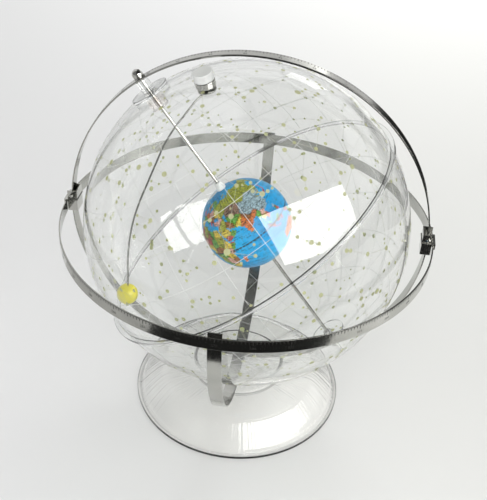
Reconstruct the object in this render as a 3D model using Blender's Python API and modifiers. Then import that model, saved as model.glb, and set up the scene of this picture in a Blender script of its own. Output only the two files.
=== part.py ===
"""Transparent celestial globe with its inner Earth and Sun, on a steel cradle and a clear base.

Metres, +Z up. The origin is on the floor, at the centre of the base's underside. North is -X, so the
polar axis lies in the X-Z plane and rises towards -X. The stand is the base, the cradle strap, the
horizon ring and its two clips. The meridian ring slides through the clips about the Y axis. The clear
sphere and the Earth's rod turn about the polar axis, and the Sun's arm turns about the ecliptic axis.
"""

import math

import bmesh
import bpy
from mathutils import Vector

# ---------------------------------------------------------------- driving dimensions

SPHERE_RADIUS = 0.1524              # a 12-inch sphere
SPHERE_WALL = 0.0025
CENTRE_HEIGHT = 0.2085              # of the sphere's centre above the floor
LATITUDE = math.radians(53.4)       # height of the north pole above the horizon
OBLIQUITY = math.radians(23.44)     # between the polar and the ecliptic axis
ECLIPTIC_TURN = math.radians(-22.2)  # place of the ecliptic pole round the polar axis
SUN_TURN = math.radians(239.6)      # place of the Sun's arm round the ecliptic axis

STRIP_WIDTH = 0.012                 # the steel strip of the rings and the cradle
STRIP_THICKNESS = 0.0012
HORIZON_RADIUS = 0.1742             # outer radii of the three steel hoops
MERIDIAN_RADIUS = 0.1691
CRADLE_RADIUS = 0.1724

EARTH_RADIUS = 0.0425
EARTH_WALL = 0.0015
ROD_RADIUS = 0.0016
SUN_RADIUS = 0.0095
SUN_ORBIT = 0.131                   # from the sphere's centre to the Sun's

BASE_RADIUS = 0.1079
GAP = 0.0003                        # left between pieces that touch
SEAM_GAP = 0.00015                  # half of the gap where two half shells meet

ROD_CLEARANCE = 0.0004
HOOP_STEPS = 72
SHELL_STEPS = 40
EARTH_STEPS = 24
SMALL_STEPS = 16
TINY_STEPS = 12
WELD = 0.00001

# ---------------------------------------------------------------- helpers


def clear_scene():
    for item in list(bpy.data.objects):
        bpy.data.objects.remove(item, do_unlink=True)


def new_collection(name):
    collection = bpy.data.collections.new(name)
    bpy.context.scene.collection.children.link(collection)
    return collection


def make_material(name, colour, roughness, metallic=0.0, transmission=0.0):
    material = bpy.data.materials.new(name)
    material.use_nodes = True
    shader = material.node_tree.nodes["Principled BSDF"]
    shader.inputs["Base Color"].default_value = (*colour, 1.0)
    shader.inputs["Roughness"].default_value = roughness
    shader.inputs["Metallic"].default_value = metallic
    shader.inputs["Transmission Weight"].default_value = transmission
    return material


def place(item, collection, parent, location=(0, 0, 0), rotation=(0, 0, 0)):
    for owner in list(item.users_collection):
        owner.objects.unlink(item)
    collection.objects.link(item)
    item.parent = parent
    item.location = location
    item.rotation_euler = rotation
    return item


def make_frame(name, collection, parent=None, location=(0, 0, 0), rotation=(0, 0, 0)):
    return place(bpy.data.objects.new(name, None), collection, parent, location, rotation)


def smooth(mesh):
    mesh.shade_smooth()
    mesh.set_sharp_from_angle(angle=math.radians(35))


def turned(name, profile, parent, material, closed, steps=SMALL_STEPS, **placing):
    """A solid of revolution about its own Z. The profile's (radius, height) points run from the top
    down its outer side; a closed one comes back up a bore, and an open one starts and ends on Z."""
    mesh = bpy.data.meshes.new(name)
    points = [(radius, 0.0, height) for radius, height in profile]
    edges = [(i, i + 1) for i in range(len(points) - 1)]
    if closed:
        edges.append((len(points) - 1, 0))
    mesh.from_pydata(points, edges, [])
    item = bpy.data.objects.new(name, mesh)
    item.data.materials.append(material)
    screw = item.modifiers.new("turn", 'SCREW')
    screw.steps = screw.render_steps = steps
    screw.use_merge_vertices = True
    screw.merge_threshold = WELD
    screw.use_smooth_shade = True
    return place(item, PARTS, parent, **placing)


def tube(name, outer, inner, low, high, parent, material, steps=SMALL_STEPS, **placing):
    profile = [(outer, high), (outer, low), (inner, low), (inner, high)]
    return turned(name, profile, parent, material, True, steps, **placing)


def arc(radius, start, end, count, centre=(0.0, 0.0)):
    """Points on an arc, from angle start to angle end, measured from +X towards +Y of the drawing."""
    angles = [start + (end - start) * i / count for i in range(count + 1)]
    return [(centre[0] + radius * math.cos(a), centre[1] + radius * math.sin(a)) for a in angles]


def plate(name, outline, thickness, parent, material, **placing):
    """A flat outline in its own XY plane, as thick as said, half to each side of that plane."""
    curve = bpy.data.curves.new(name, 'CURVE')
    curve.dimensions = '2D'
    curve.fill_mode = 'BOTH'
    curve.extrude = thickness / 2
    spline = curve.splines.new('POLY')
    spline.points.add(len(outline) - 1)
    for point, (x, y) in zip(spline.points, outline):
        point.co = (x, y, 0.0, 1.0)
    spline.use_cyclic_u = True
    return as_mesh(place(bpy.data.objects.new(name, curve), PARTS, parent, **placing), material)


def as_mesh(source, material):
    """The curve object as a welded mesh object of the same name and place."""
    bpy.context.view_layer.update()
    graph = bpy.context.evaluated_depsgraph_get()
    mesh = bpy.data.meshes.new_from_object(source.evaluated_get(graph))
    shape = bmesh.new()
    shape.from_mesh(mesh)
    bmesh.ops.remove_doubles(shape, verts=shape.verts, dist=WELD)
    bmesh.ops.recalc_face_normals(shape, faces=shape.faces)
    shape.to_mesh(mesh)
    shape.free()
    name, parent = source.name, source.parent
    location, rotation = source.location.copy(), source.rotation_euler.copy()
    bpy.data.objects.remove(source, do_unlink=True)
    mesh.materials.clear()
    mesh.materials.append(material)
    return place(bpy.data.objects.new(name, mesh), PARTS, parent, location, rotation)


def cutter(name, radius, length, parent, location=(0, 0, 0), rotation=(0, 0, 0)):
    bpy.ops.mesh.primitive_cylinder_add(vertices=SMALL_STEPS, radius=radius, depth=length)
    item = bpy.context.object
    item.name = name
    item.hide_render = True
    item.display_type = 'WIRE'
    return place(item, CUTTERS, parent, location, rotation)


def combine(item, other, operation):
    boolean = item.modifiers.new(operation.lower(), 'BOOLEAN')
    boolean.operation = operation
    boolean.solver = 'EXACT'
    boolean.object = other


# ---------------------------------------------------------------- the stand

DISH_WALL = 0.003
DISH_TOP = 0.0315                   # height of the raised round top of the base
DISH_STEP = 0.0015
DISH_TOP_RADIUS = 0.0490
DISH_LIP = 0.0034                   # width of the flat foot rim
DISH_TILTS = [math.radians(angle) for angle in (2, 42, 57)]  # of the shoulder, the turn's end, the foot
SHOULDER_END = 0.0740
TURN_RADIUS = 0.016
SKIRT_RADIUS = 0.123
RIM_HEIGHT = 0.0030
SPACER_RADIUS = 0.0070
SCREW_RADIUS = 0.0020
SCREW_HOLE = 0.0023
SCREW_HEAD = (0.0038, 0.0012)       # radius and height
BASE_WASHER = (0.0060, 0.0010)
BASE_NUT = (0.0040, 0.0032)


def dish_profile():
    """Outer side of the base: raised top, level shoulder, a tight turn, then a long steep skirt."""
    level_height = DISH_TOP - DISH_STEP
    tilt_0, tilt_1, tilt_2 = DISH_TILTS
    points = [(DISH_TOP_RADIUS - 0.0008, DISH_TOP), (DISH_TOP_RADIUS, level_height)]
    start = (SHOULDER_END, level_height - (SHOULDER_END - DISH_TOP_RADIUS) * math.tan(tilt_0))
    for radius, first, last, count in ((TURN_RADIUS, tilt_0, tilt_1, 3), (SKIRT_RADIUS, tilt_1, tilt_2, 3)):
        centre = (start[0] - radius * math.sin(first), start[1] - radius * math.cos(first))
        points += arc(radius, math.pi / 2 - first, math.pi / 2 - last, count, centre)
        start = points.pop()
    points.append(start)
    return points


def offset_inwards(points, distance):
    """The same outline moved towards the inside of the dish."""
    moved = []
    for i, (r, z) in enumerate(points):
        before, after = points[max(i - 1, 0)], points[min(i + 1, len(points) - 1)]
        along = Vector((after[0] - before[0], after[1] - before[1])).normalized()
        moved.append((r + along.y * distance, z - along.x * distance))
    return moved


def build_base():
    skirt = dish_profile()
    outer = [(SCREW_HOLE, DISH_TOP)] + skirt[:-1]
    rim_join = skirt[-2][0] + 0.0012
    rim = [(rim_join, RIM_HEIGHT), (BASE_RADIUS, RIM_HEIGHT), (BASE_RADIUS, 0.0),
           (BASE_RADIUS - DISH_LIP, 0.0)]
    under = [p for p in offset_inwards(skirt, DISH_WALL) if p[1] > 0.0012 and p[0] < 0.1030]
    inner = under[::-1] + [(SCREW_HOLE, DISH_TOP - DISH_WALL)]
    turned("base_dish", outer + rim + inner, STAND, CLEAR, True, steps=48)

    strap_under = CENTRE_HEIGHT - CRADLE_RADIUS
    tube("base_spacer", SPACER_RADIUS, SCREW_HOLE, DISH_TOP + GAP, strap_under - GAP, STAND, CLEAR)
    head_under = strap_under + STRIP_THICKNESS + GAP
    head_radius, head_height = SCREW_HEAD
    washer_radius, washer_height = BASE_WASHER
    nut_radius, nut_height = BASE_NUT
    washer_top = DISH_TOP - DISH_WALL - GAP
    nut_top = washer_top - washer_height - GAP
    shank_end = nut_top - nut_height - 0.0021
    screw = [(0, head_under + head_height), (head_radius - 0.0008, head_under + head_height),
             (head_radius, head_under + head_height / 2), (head_radius, head_under),
             (SCREW_RADIUS, head_under), (SCREW_RADIUS, shank_end), (0, shank_end)]
    turned("base_screw", screw, STAND, STEEL, False)
    tube("base_washer", washer_radius, SCREW_HOLE, washer_top - washer_height, washer_top, STAND, STEEL)
    tube("base_nut", nut_radius, SCREW_HOLE, nut_top - nut_height, nut_top, STAND, STEEL, steps=6)


CRADLE_STANDS_PROUD = 0.0035        # of the horizon ring's top edge


def build_cradle():
    """A half hoop in the Y-Z plane. Its ends stand proud of the horizon ring's top edge."""
    inner = CRADLE_RADIUS - STRIP_THICKNESS
    top = STRIP_WIDTH / 2 + CRADLE_STANDS_PROUD
    outline = [(CRADLE_RADIUS, top)] + arc(CRADLE_RADIUS, 0, -math.pi, HOOP_STEPS // 2)
    outline.append((-CRADLE_RADIUS, top))
    outline += [(-inner, top)] + arc(inner, -math.pi, 0, HOOP_STEPS // 2) + [(inner, top)]
    strap = plate("cradle_strap", outline, STRIP_WIDTH, CENTRE, STEEL,
                  rotation=(math.pi / 2, 0, math.pi / 2))
    hole = cutter("strap_hole", SCREW_HOLE, 0.02, CENTRE, location=(0, 0, -CRADLE_RADIUS))
    combine(strap, hole, 'DIFFERENCE')


def build_horizon():
    tube("horizon_ring", HORIZON_RADIUS, HORIZON_RADIUS - STRIP_THICKNESS, -STRIP_WIDTH / 2,
         STRIP_WIDTH / 2, CENTRE, STEEL, steps=HOOP_STEPS)


CLIP_SHEET = 0.0010
CLIP_INSIDE = 0.1630                # inner face of the clip, from the sphere's centre
CLIP_HALF_WIDTH = 0.0076
CLIP_TOP = 0.0160
CLIP_BOTTOM = -0.0055
CLIP_OUTSIDE = 0.1723
SADDLE_OVERHANG = 0.0012
SLOT_INSIDE, SLOT_OUTSIDE = 0.1672, MERIDIAN_RADIUS + 0.0007
LIP_DROP = 0.0050
CLIP_SCREW_PLACE, CLIP_SCREW_HEIGHT = 0.1686, 0.0105
CLIP_SCREW_HOLE = 0.0011


def build_clip(name, turn):
    """A folded channel that the meridian ring slides in, with a saddle over the horizon ring's top
    edge and a lip down its outer side. It is drawn on the +X side and turned into place."""
    side = make_frame(name + "_frame", PARTS, CENTRE, rotation=(0, 0, turn))
    flange_in = CLIP_HALF_WIDTH - CLIP_SHEET
    web_end = CLIP_INSIDE + CLIP_SHEET
    channel_outline = [(CLIP_INSIDE, -CLIP_HALF_WIDTH), (CLIP_OUTSIDE, -CLIP_HALF_WIDTH),
                       (CLIP_OUTSIDE, -flange_in), (web_end, -flange_in), (web_end, flange_in),
                       (CLIP_OUTSIDE, flange_in), (CLIP_OUTSIDE, CLIP_HALF_WIDTH),
                       (CLIP_INSIDE, CLIP_HALF_WIDTH)]
    clip = plate(name, channel_outline, CLIP_TOP - CLIP_BOTTOM, side, STEEL,
                 location=(0, 0, (CLIP_TOP + CLIP_BOTTOM) / 2))

    saddle_low = STRIP_WIDTH / 2 + GAP
    saddle_half = CLIP_HALF_WIDTH + SADDLE_OVERHANG
    saddle_in = CLIP_INSIDE - SADDLE_OVERHANG / 2
    lip_in = HORIZON_RADIUS + GAP
    saddle_outline = [(saddle_in, -saddle_half), (lip_in + CLIP_SHEET, -saddle_half),
                      (lip_in + CLIP_SHEET, saddle_half), (SLOT_OUTSIDE, saddle_half),
                      (SLOT_OUTSIDE, -flange_in), (SLOT_INSIDE, -flange_in), (SLOT_INSIDE, saddle_half),
                      (saddle_in, saddle_half)]
    saddle = plate(name + "_saddle", saddle_outline, CLIP_SHEET, side, STEEL,
                   location=(0, 0, saddle_low + CLIP_SHEET / 2))
    lip_outline = [(lip_in, -saddle_half), (lip_in + CLIP_SHEET, -saddle_half),
                   (lip_in + CLIP_SHEET, saddle_half), (lip_in, saddle_half)]
    lip = plate(name + "_lip", lip_outline, LIP_DROP, side, STEEL,
                location=(0, 0, saddle_low + CLIP_SHEET * 3 / 4 - LIP_DROP / 2))
    for addition in (saddle, lip):
        place(addition, CUTTERS, side, addition.location, addition.rotation_euler)
        addition.hide_render = True
        addition.display_type = 'WIRE'
        combine(clip, addition, 'UNION')

    front = -CLIP_HALF_WIDTH if turn == 0 else CLIP_HALF_WIDTH
    screw_spot = (CLIP_SCREW_PLACE, front, CLIP_SCREW_HEIGHT)
    facing = math.pi / 2 if turn == 0 else -math.pi / 2
    hole = cutter(name + "_hole", CLIP_SCREW_HOLE, 0.004, side, location=screw_spot, rotation=(facing, 0, 0))
    combine(clip, hole, 'DIFFERENCE')
    head = [(0, 0.0016), (0.0012, 0.0015), (0.0017, 0.0009), (0.0017, GAP), (0.0008, GAP),
            (0.0008, -CLIP_SHEET - GAP), (0, -CLIP_SHEET - GAP)]
    turned(name.replace("clip", "clip_screw"), head, side, STEEL, False, steps=TINY_STEPS,
           location=screw_spot, rotation=(facing, 0, 0))


# ---------------------------------------------------------------- the meridian ring and its axle

HUB_RADIUS = 0.0055
HUB_BORE = ROD_RADIUS + ROD_CLEARANCE
POLE_HOLE = 0.0040                  # hole in each half sphere at its pole
DISC_RADIUS = 0.0180
DISC_THICKNESS = 0.0032
COLLAR_RADIUS = 0.0080
COLLAR_END = 0.1370
NUT_RADIUS = 0.0048


def build_meridian():
    ring = tube("meridian_ring", MERIDIAN_RADIUS, MERIDIAN_RADIUS - STRIP_THICKNESS,
                -STRIP_WIDTH / 2, STRIP_WIDTH / 2, MERIDIAN, STEEL, steps=HOOP_STEPS,
                rotation=(math.pi / 2, 0, 0))
    axle_hole = cutter("axle_hole", HUB_BORE, 2.2 * MERIDIAN_RADIUS, POLAR)
    combine(ring, axle_hole, 'DIFFERENCE')


def shell_profile(radius, wall, hole, count, flange=None):
    """Section of the upper half of a hollow ball, open at the pole and at the equator."""
    inside = radius - wall
    low = SEAM_GAP
    outer = [(r, z) for r, z in arc(radius, math.acos(hole / radius), 0, count)][:-1]
    if flange:
        rim, thickness = flange
        outer += [(math.sqrt(radius ** 2 - (low + thickness) ** 2), low + thickness),
                  (rim, low + thickness), (rim, low)]
    else:
        outer += [(radius, low)]
    inner = arc(inside, math.asin(low / inside), math.acos(hole / inside), count)
    return outer + inner


def build_sphere():
    profile = shell_profile(SPHERE_RADIUS, SPHERE_WALL, POLE_HOLE, 9, flange=(0.1565, 0.0012))
    north = turned("sphere_north", profile, POLAR, CLEAR, True, steps=SHELL_STEPS)
    south = bpy.data.objects.new("sphere_south", north.data)
    turn = south.modifiers.new("turn", 'SCREW')
    turn.steps = turn.render_steps = SHELL_STEPS
    turn.merge_threshold = WELD
    turn.use_smooth_shade = True
    place(south, PARTS, POLAR, rotation=(math.pi, 0, 0))
    hole = cutter("knob_hole", SHAFT_RADIUS + 0.0003, 0.02, ECLIPTIC, location=(0, 0, SPHERE_RADIUS))
    combine(north, hole, 'DIFFERENCE')


def build_pole(side, flip):
    """The clear bearing at one pole: a flanged hub, and at the north pole a collar inside the sphere."""
    end = make_frame("pole_" + side, PARTS, POLAR, rotation=(flip, 0, 0))
    disc_low = SPHERE_RADIUS + GAP
    disc_high = disc_low + DISC_THICKNESS
    hub_top = MERIDIAN_RADIUS - STRIP_THICKNESS - 0.0005
    spigot_end = SPHERE_RADIUS - SPHERE_WALL - 0.0003
    spigot = POLE_HOLE - 0.0003
    hub = [(HUB_RADIUS, hub_top), (HUB_RADIUS, disc_high), (DISC_RADIUS - 0.0006, disc_high),
           (DISC_RADIUS, disc_high - 0.0006), (DISC_RADIUS, disc_low), (spigot, disc_low),
           (spigot, spigot_end), (HUB_BORE, spigot_end), (HUB_BORE, hub_top)]
    turned("polar_hub_" + side, hub, end, CLEAR, True)
    if side == "north":
        tube("inner_collar_north", COLLAR_RADIUS, HUB_BORE, COLLAR_END, spigot_end - 2 * GAP, end, CLEAR)

    washer_low = MERIDIAN_RADIUS + 0.0004
    tube("polar_washer_" + side, NUT_RADIUS + 0.0004, HUB_BORE, washer_low, washer_low + 0.0008,
         end, STEEL)
    nut_low = washer_low + 0.0008 + GAP
    dome_centre = nut_low + 0.0022
    bore_top = nut_low + 0.0030
    dome = [(r, dome_centre + z) for r, z in arc(NUT_RADIUS, math.pi / 2, 0, 6)]
    dome[0] = (0.0, dome[0][1])
    nut = dome + [(NUT_RADIUS, nut_low), (HUB_BORE, nut_low), (HUB_BORE, bore_top), (0, bore_top)]
    turned("dome_nut_" + side, nut, end, STEEL, False)


def build_axle_and_earth():
    rod_end = MERIDIAN_RADIUS + 0.0042
    rod = [(0, rod_end), (ROD_RADIUS, rod_end), (ROD_RADIUS, -rod_end), (0, -rod_end)]
    turned("polar_rod", rod, POLAR, STEEL, False, steps=TINY_STEPS)
    profile = shell_profile(EARTH_RADIUS, EARTH_WALL, HUB_BORE, 7)
    turned("earth_north", profile, POLAR, BLUE, True, steps=EARTH_STEPS)
    turned("earth_south", profile, POLAR, BLUE, True, steps=EARTH_STEPS, rotation=(math.pi, 0, 0))
    for side, flip, height in (("north", 0.0, 0.0075), ("south", math.pi, 0.0030)):
        low = EARTH_RADIUS + GAP
        boss = [(0.0028, low + height), (0.0046, low + 0.0018), (0.0046, low), (HUB_BORE, low),
                (HUB_BORE, low + height)]
        turned("earth_boss_" + side, boss, POLAR, WHITE, True, rotation=(flip, 0, 0))


# ---------------------------------------------------------------- the Sun, its arm and its knob

SHAFT_RADIUS = 0.0020
CAP_RADIUS = 0.00875
CAP_LOW, CAP_HIGH = 0.1586, 0.1664  # from the sphere's centre; a bright ferrule is under the cap
FERRULE_RADIUS = 0.0088
INNER_WASHER = (0.0080, 0.0014)     # radius and thickness
ARM_RADIUS = 0.0008
ARM_LEAN = math.radians(23)         # of the arm's straight end, outwards from the ecliptic's normal
ARM_KNOTS = ((1.3, 0.1457), (5.0, 0.1440), (11.0, 0.1388), (16.0, 0.1358), (23.0, 0.1310),
             (30.0, 0.1258), (38.0, 0.1222), (47.0, 0.1210), (56.0, 0.1210), (65.0, 0.1214),
             (74.0, 0.1228))        # degrees from the ecliptic pole, distance from the centre


def arm_end_direction():
    return Vector((math.sin(ARM_LEAN), 0.0, -math.cos(ARM_LEAN)))


def arm_route():
    """Smooth route of the bent arm in its own X-Z plane, ending in a straight stretch through the
    Sun. Each span between two knots is a Catmull-Rom curve."""
    sun = Vector((SUN_ORBIT, 0.0, 0.0))
    along = arm_end_direction()
    knots = [Vector((r * math.sin(math.radians(a)), 0, r * math.cos(math.radians(a))))
             for a, r in ARM_KNOTS]
    knots += [sun - along * 0.0140, sun + along * 0.0130]
    route = []
    for i in range(len(knots) - 1):
        before = knots[max(i - 1, 0)]
        start, end = knots[i], knots[i + 1]
        after = knots[min(i + 2, len(knots) - 1)]
        straight = i == len(knots) - 2
        for step in range(1 if straight else 2):
            t = step / 2
            point = 0.5 * ((2 * start) + (end - before) * t
                           + (2 * before - 5 * start + 4 * end - after) * t ** 2
                           + (3 * start - before - 3 * end + after) * t ** 3)
            route.append(point)
    route.append(knots[-1])
    return route


def build_arm():
    curve = bpy.data.curves.new("sun_arm", 'CURVE')
    curve.dimensions = '3D'
    curve.bevel_depth = ARM_RADIUS
    curve.bevel_resolution = 2
    curve.use_fill_caps = True
    route = arm_route()
    spline = curve.splines.new('POLY')
    spline.points.add(len(route) - 1)
    for point, spot in zip(spline.points, route):
        point.co = (*spot, 1.0)
    as_mesh(place(bpy.data.objects.new("sun_arm", curve), PARTS, SUN), STEEL)


def build_sun():
    shaft_low = SPHERE_RADIUS - SPHERE_WALL - 0.0045
    shaft_high = CAP_HIGH - 0.0040
    shaft = [(0, shaft_high), (SHAFT_RADIUS, shaft_high), (SHAFT_RADIUS, shaft_low), (0, shaft_low)]
    turned("ecliptic_shaft", shaft, SUN, STEEL, False, steps=TINY_STEPS)

    bore = SHAFT_RADIUS + GAP
    fillet = [(CAP_RADIUS - 0.0012 + r, CAP_HIGH - 0.0012 + z)
              for r, z in arc(0.0012, math.pi / 2, 0, 3)]
    cap = [(0, CAP_HIGH)] + fillet + [(CAP_RADIUS, CAP_LOW), (bore, CAP_LOW),
                                      (bore, shaft_high + GAP), (0, shaft_high + GAP)]
    turned("ecliptic_knob", cap, SUN, WHITE, False)
    outside = SPHERE_RADIUS + 0.0004
    tube("knob_ferrule", FERRULE_RADIUS, bore, outside, CAP_LOW - GAP, SUN, STEEL)
    radius, thickness = INNER_WASHER
    inside = SPHERE_RADIUS - SPHERE_WALL - thickness
    tube("inner_washer", radius, bore, inside - thickness, inside, SUN, STEEL)

    bpy.ops.mesh.primitive_uv_sphere_add(segments=SMALL_STEPS, ring_count=10, radius=SUN_RADIUS)
    ball = bpy.context.object
    ball.name = "sun_ball"
    smooth(ball.data)
    ball.data.materials.append(YELLOW)
    place(ball, PARTS, SUN, location=(SUN_ORBIT, 0, 0), rotation=(0, math.pi - ARM_LEAN, 0))
    bore_cut = cutter("ball_bore", ARM_RADIUS + GAP, 4 * SUN_RADIUS, SUN, location=(SUN_ORBIT, 0, 0),
                      rotation=(0, math.pi - ARM_LEAN, 0))
    combine(ball, bore_cut, 'DIFFERENCE')


# ---------------------------------------------------------------- the whole globe

clear_scene()
PARTS = new_collection("celestial_globe")
CUTTERS = new_collection("cutters")

STEEL = make_material("stainless_steel", (0.62, 0.62, 0.60), 0.25, metallic=1.0)
CLEAR = make_material("clear_acrylic", (0.97, 0.98, 0.97), 0.03, transmission=1.0)
BLUE = make_material("earth_print", (0.10, 0.45, 0.80), 0.30)
WHITE = make_material("white_plastic", (0.88, 0.89, 0.88), 0.35)
YELLOW = make_material("yellow_plastic", (0.80, 0.72, 0.05), 0.30)

STAND = make_frame("stand", PARTS)
CENTRE = make_frame("centre", PARTS, STAND, location=(0, 0, CENTRE_HEIGHT))
MERIDIAN = make_frame("latitude_axis", PARTS, CENTRE)
POLAR = make_frame("polar_axis", PARTS, MERIDIAN, rotation=(0, LATITUDE - math.pi / 2, 0))
ECLIPTIC = make_frame("ecliptic_axis", PARTS, POLAR, rotation=(0, OBLIQUITY, ECLIPTIC_TURN))
SUN = make_frame("sun_axis", PARTS, ECLIPTIC, rotation=(0, 0, SUN_TURN))

build_base()
build_cradle()
build_horizon()
build_clip("clip_south", 0.0)
build_clip("clip_north", math.pi)
build_meridian()
build_sphere()
build_pole("north", 0.0)
build_pole("south", math.pi)
build_axle_and_earth()
build_arm()
build_sun()
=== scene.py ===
"""Looks of the transparent celestial globe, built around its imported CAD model.

Metres, +Z up. North is -X. Every piece is drawn in a frame of the globe: the sphere's centre, the
polar axis, the ecliptic axis or the Sun's arm. The clear shells, the steel strips and the turned
fittings are drawn again with more facets and rounded edges. The CAD clips and their screws stay.
"""

import math
import random

import bmesh
import bpy
import numpy as np
from mathutils import Matrix, Vector


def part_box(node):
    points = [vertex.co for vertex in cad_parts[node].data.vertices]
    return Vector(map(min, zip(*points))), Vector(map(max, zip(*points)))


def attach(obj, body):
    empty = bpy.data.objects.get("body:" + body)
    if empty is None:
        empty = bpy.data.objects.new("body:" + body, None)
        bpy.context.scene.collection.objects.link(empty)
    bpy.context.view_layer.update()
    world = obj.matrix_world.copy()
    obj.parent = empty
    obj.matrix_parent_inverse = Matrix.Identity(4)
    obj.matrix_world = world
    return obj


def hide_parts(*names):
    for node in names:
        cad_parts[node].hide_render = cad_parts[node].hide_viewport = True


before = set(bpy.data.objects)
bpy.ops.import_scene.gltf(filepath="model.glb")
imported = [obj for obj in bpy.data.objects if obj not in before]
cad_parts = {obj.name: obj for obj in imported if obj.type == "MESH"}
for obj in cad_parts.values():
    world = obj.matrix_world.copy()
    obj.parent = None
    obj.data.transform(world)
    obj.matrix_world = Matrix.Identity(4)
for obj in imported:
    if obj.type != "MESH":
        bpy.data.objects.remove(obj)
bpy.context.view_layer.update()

# ---------------------------------------------------------------- dimensions, as in the CAD part

SPHERE_RADIUS = 0.1524
SPHERE_WALL = 0.0025
SPHERE_INSIDE = SPHERE_RADIUS - SPHERE_WALL
FLANGE_RADIUS = 0.1565              # of the thin flanges where the two half spheres meet
FLANGE_THICKNESS = 0.0012
SEAM_GAP = 0.00015
POLE_HOLE = 0.0040

LATITUDE = math.radians(53.4)
OBLIQUITY = math.radians(23.44)
ECLIPTIC_TURN = math.radians(-22.2)
SUN_TURN = math.radians(239.6)

STRIP_HALF_WIDTH = 0.006
STRIP_THICKNESS = 0.0012
HORIZON_RADIUS = 0.1742
MERIDIAN_RADIUS = 0.1691
CRADLE_RADIUS = 0.1724
CRADLE_END = 0.0095                 # height of the cradle's ends over the sphere's centre

ROD_RADIUS = 0.0016
BORE = 0.0020                       # of everything that turns on the rod
SCREW_HOLE = 0.0023
EARTH_RADIUS = 0.0425
EARTH_WALL = 0.0015
SUN_RADIUS = 0.0095
SUN_ORBIT = 0.131
ARM_RADIUS = 0.0008
ARM_LEAN = math.radians(23)
GAP = 0.0003
CHAMFER = 0.0003                    # of the screw and the dome nuts

# ---------------------------------------------------------------- frames of reference

ring_low, ring_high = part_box("horizon_ring")
CENTRE = Matrix.Translation((ring_low + ring_high) / 2)
POLAR = CENTRE @ Matrix.Rotation(LATITUDE - math.pi / 2, 4, 'Y')
POLAR_SOUTH = POLAR @ Matrix.Rotation(math.pi, 4, 'X')
ECLIPTIC = POLAR @ Matrix.Rotation(ECLIPTIC_TURN, 4, 'Z') @ Matrix.Rotation(OBLIQUITY, 4, 'Y')
SUN = ECLIPTIC @ Matrix.Rotation(SUN_TURN, 4, 'Z')
MERIDIAN = CENTRE @ Matrix.Rotation(math.pi / 2, 4, 'X')
CRADLE = CENTRE @ Matrix.Rotation(math.pi / 2, 4, 'Z') @ Matrix.Rotation(math.pi / 2, 4, 'X')
GROUND = Matrix.Identity(4)

STAR_TURN = math.radians(-18)       # of right ascension 18 h, round the polar axis
EARTH_TURN = math.radians(-141)     # of Greenwich, round the polar axis

# ---------------------------------------------------------------- materials

ACRYLIC_IOR = 1.49


def maths(tree, operation, *inputs):
    """A Math node, each of whose inputs is a number or another node's output."""
    node = tree.nodes.new('ShaderNodeMath')
    node.operation = operation
    for socket, value in zip(node.inputs, inputs):
        if isinstance(value, float):
            socket.default_value = value
        else:
            tree.links.new(value, socket)
    return node.outputs["Value"]


def map_range(tree, value, low, high, start, end, interpolation='LINEAR'):
    """From low to high, as the value goes from start to end."""
    node = tree.nodes.new('ShaderNodeMapRange')
    node.interpolation_type = interpolation
    for name, number in (("From Min", start), ("From Max", end), ("To Min", low), ("To Max", high)):
        node.inputs[name].default_value = number
    tree.links.new(value, node.inputs["Value"])
    return node.outputs["Result"]


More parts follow.
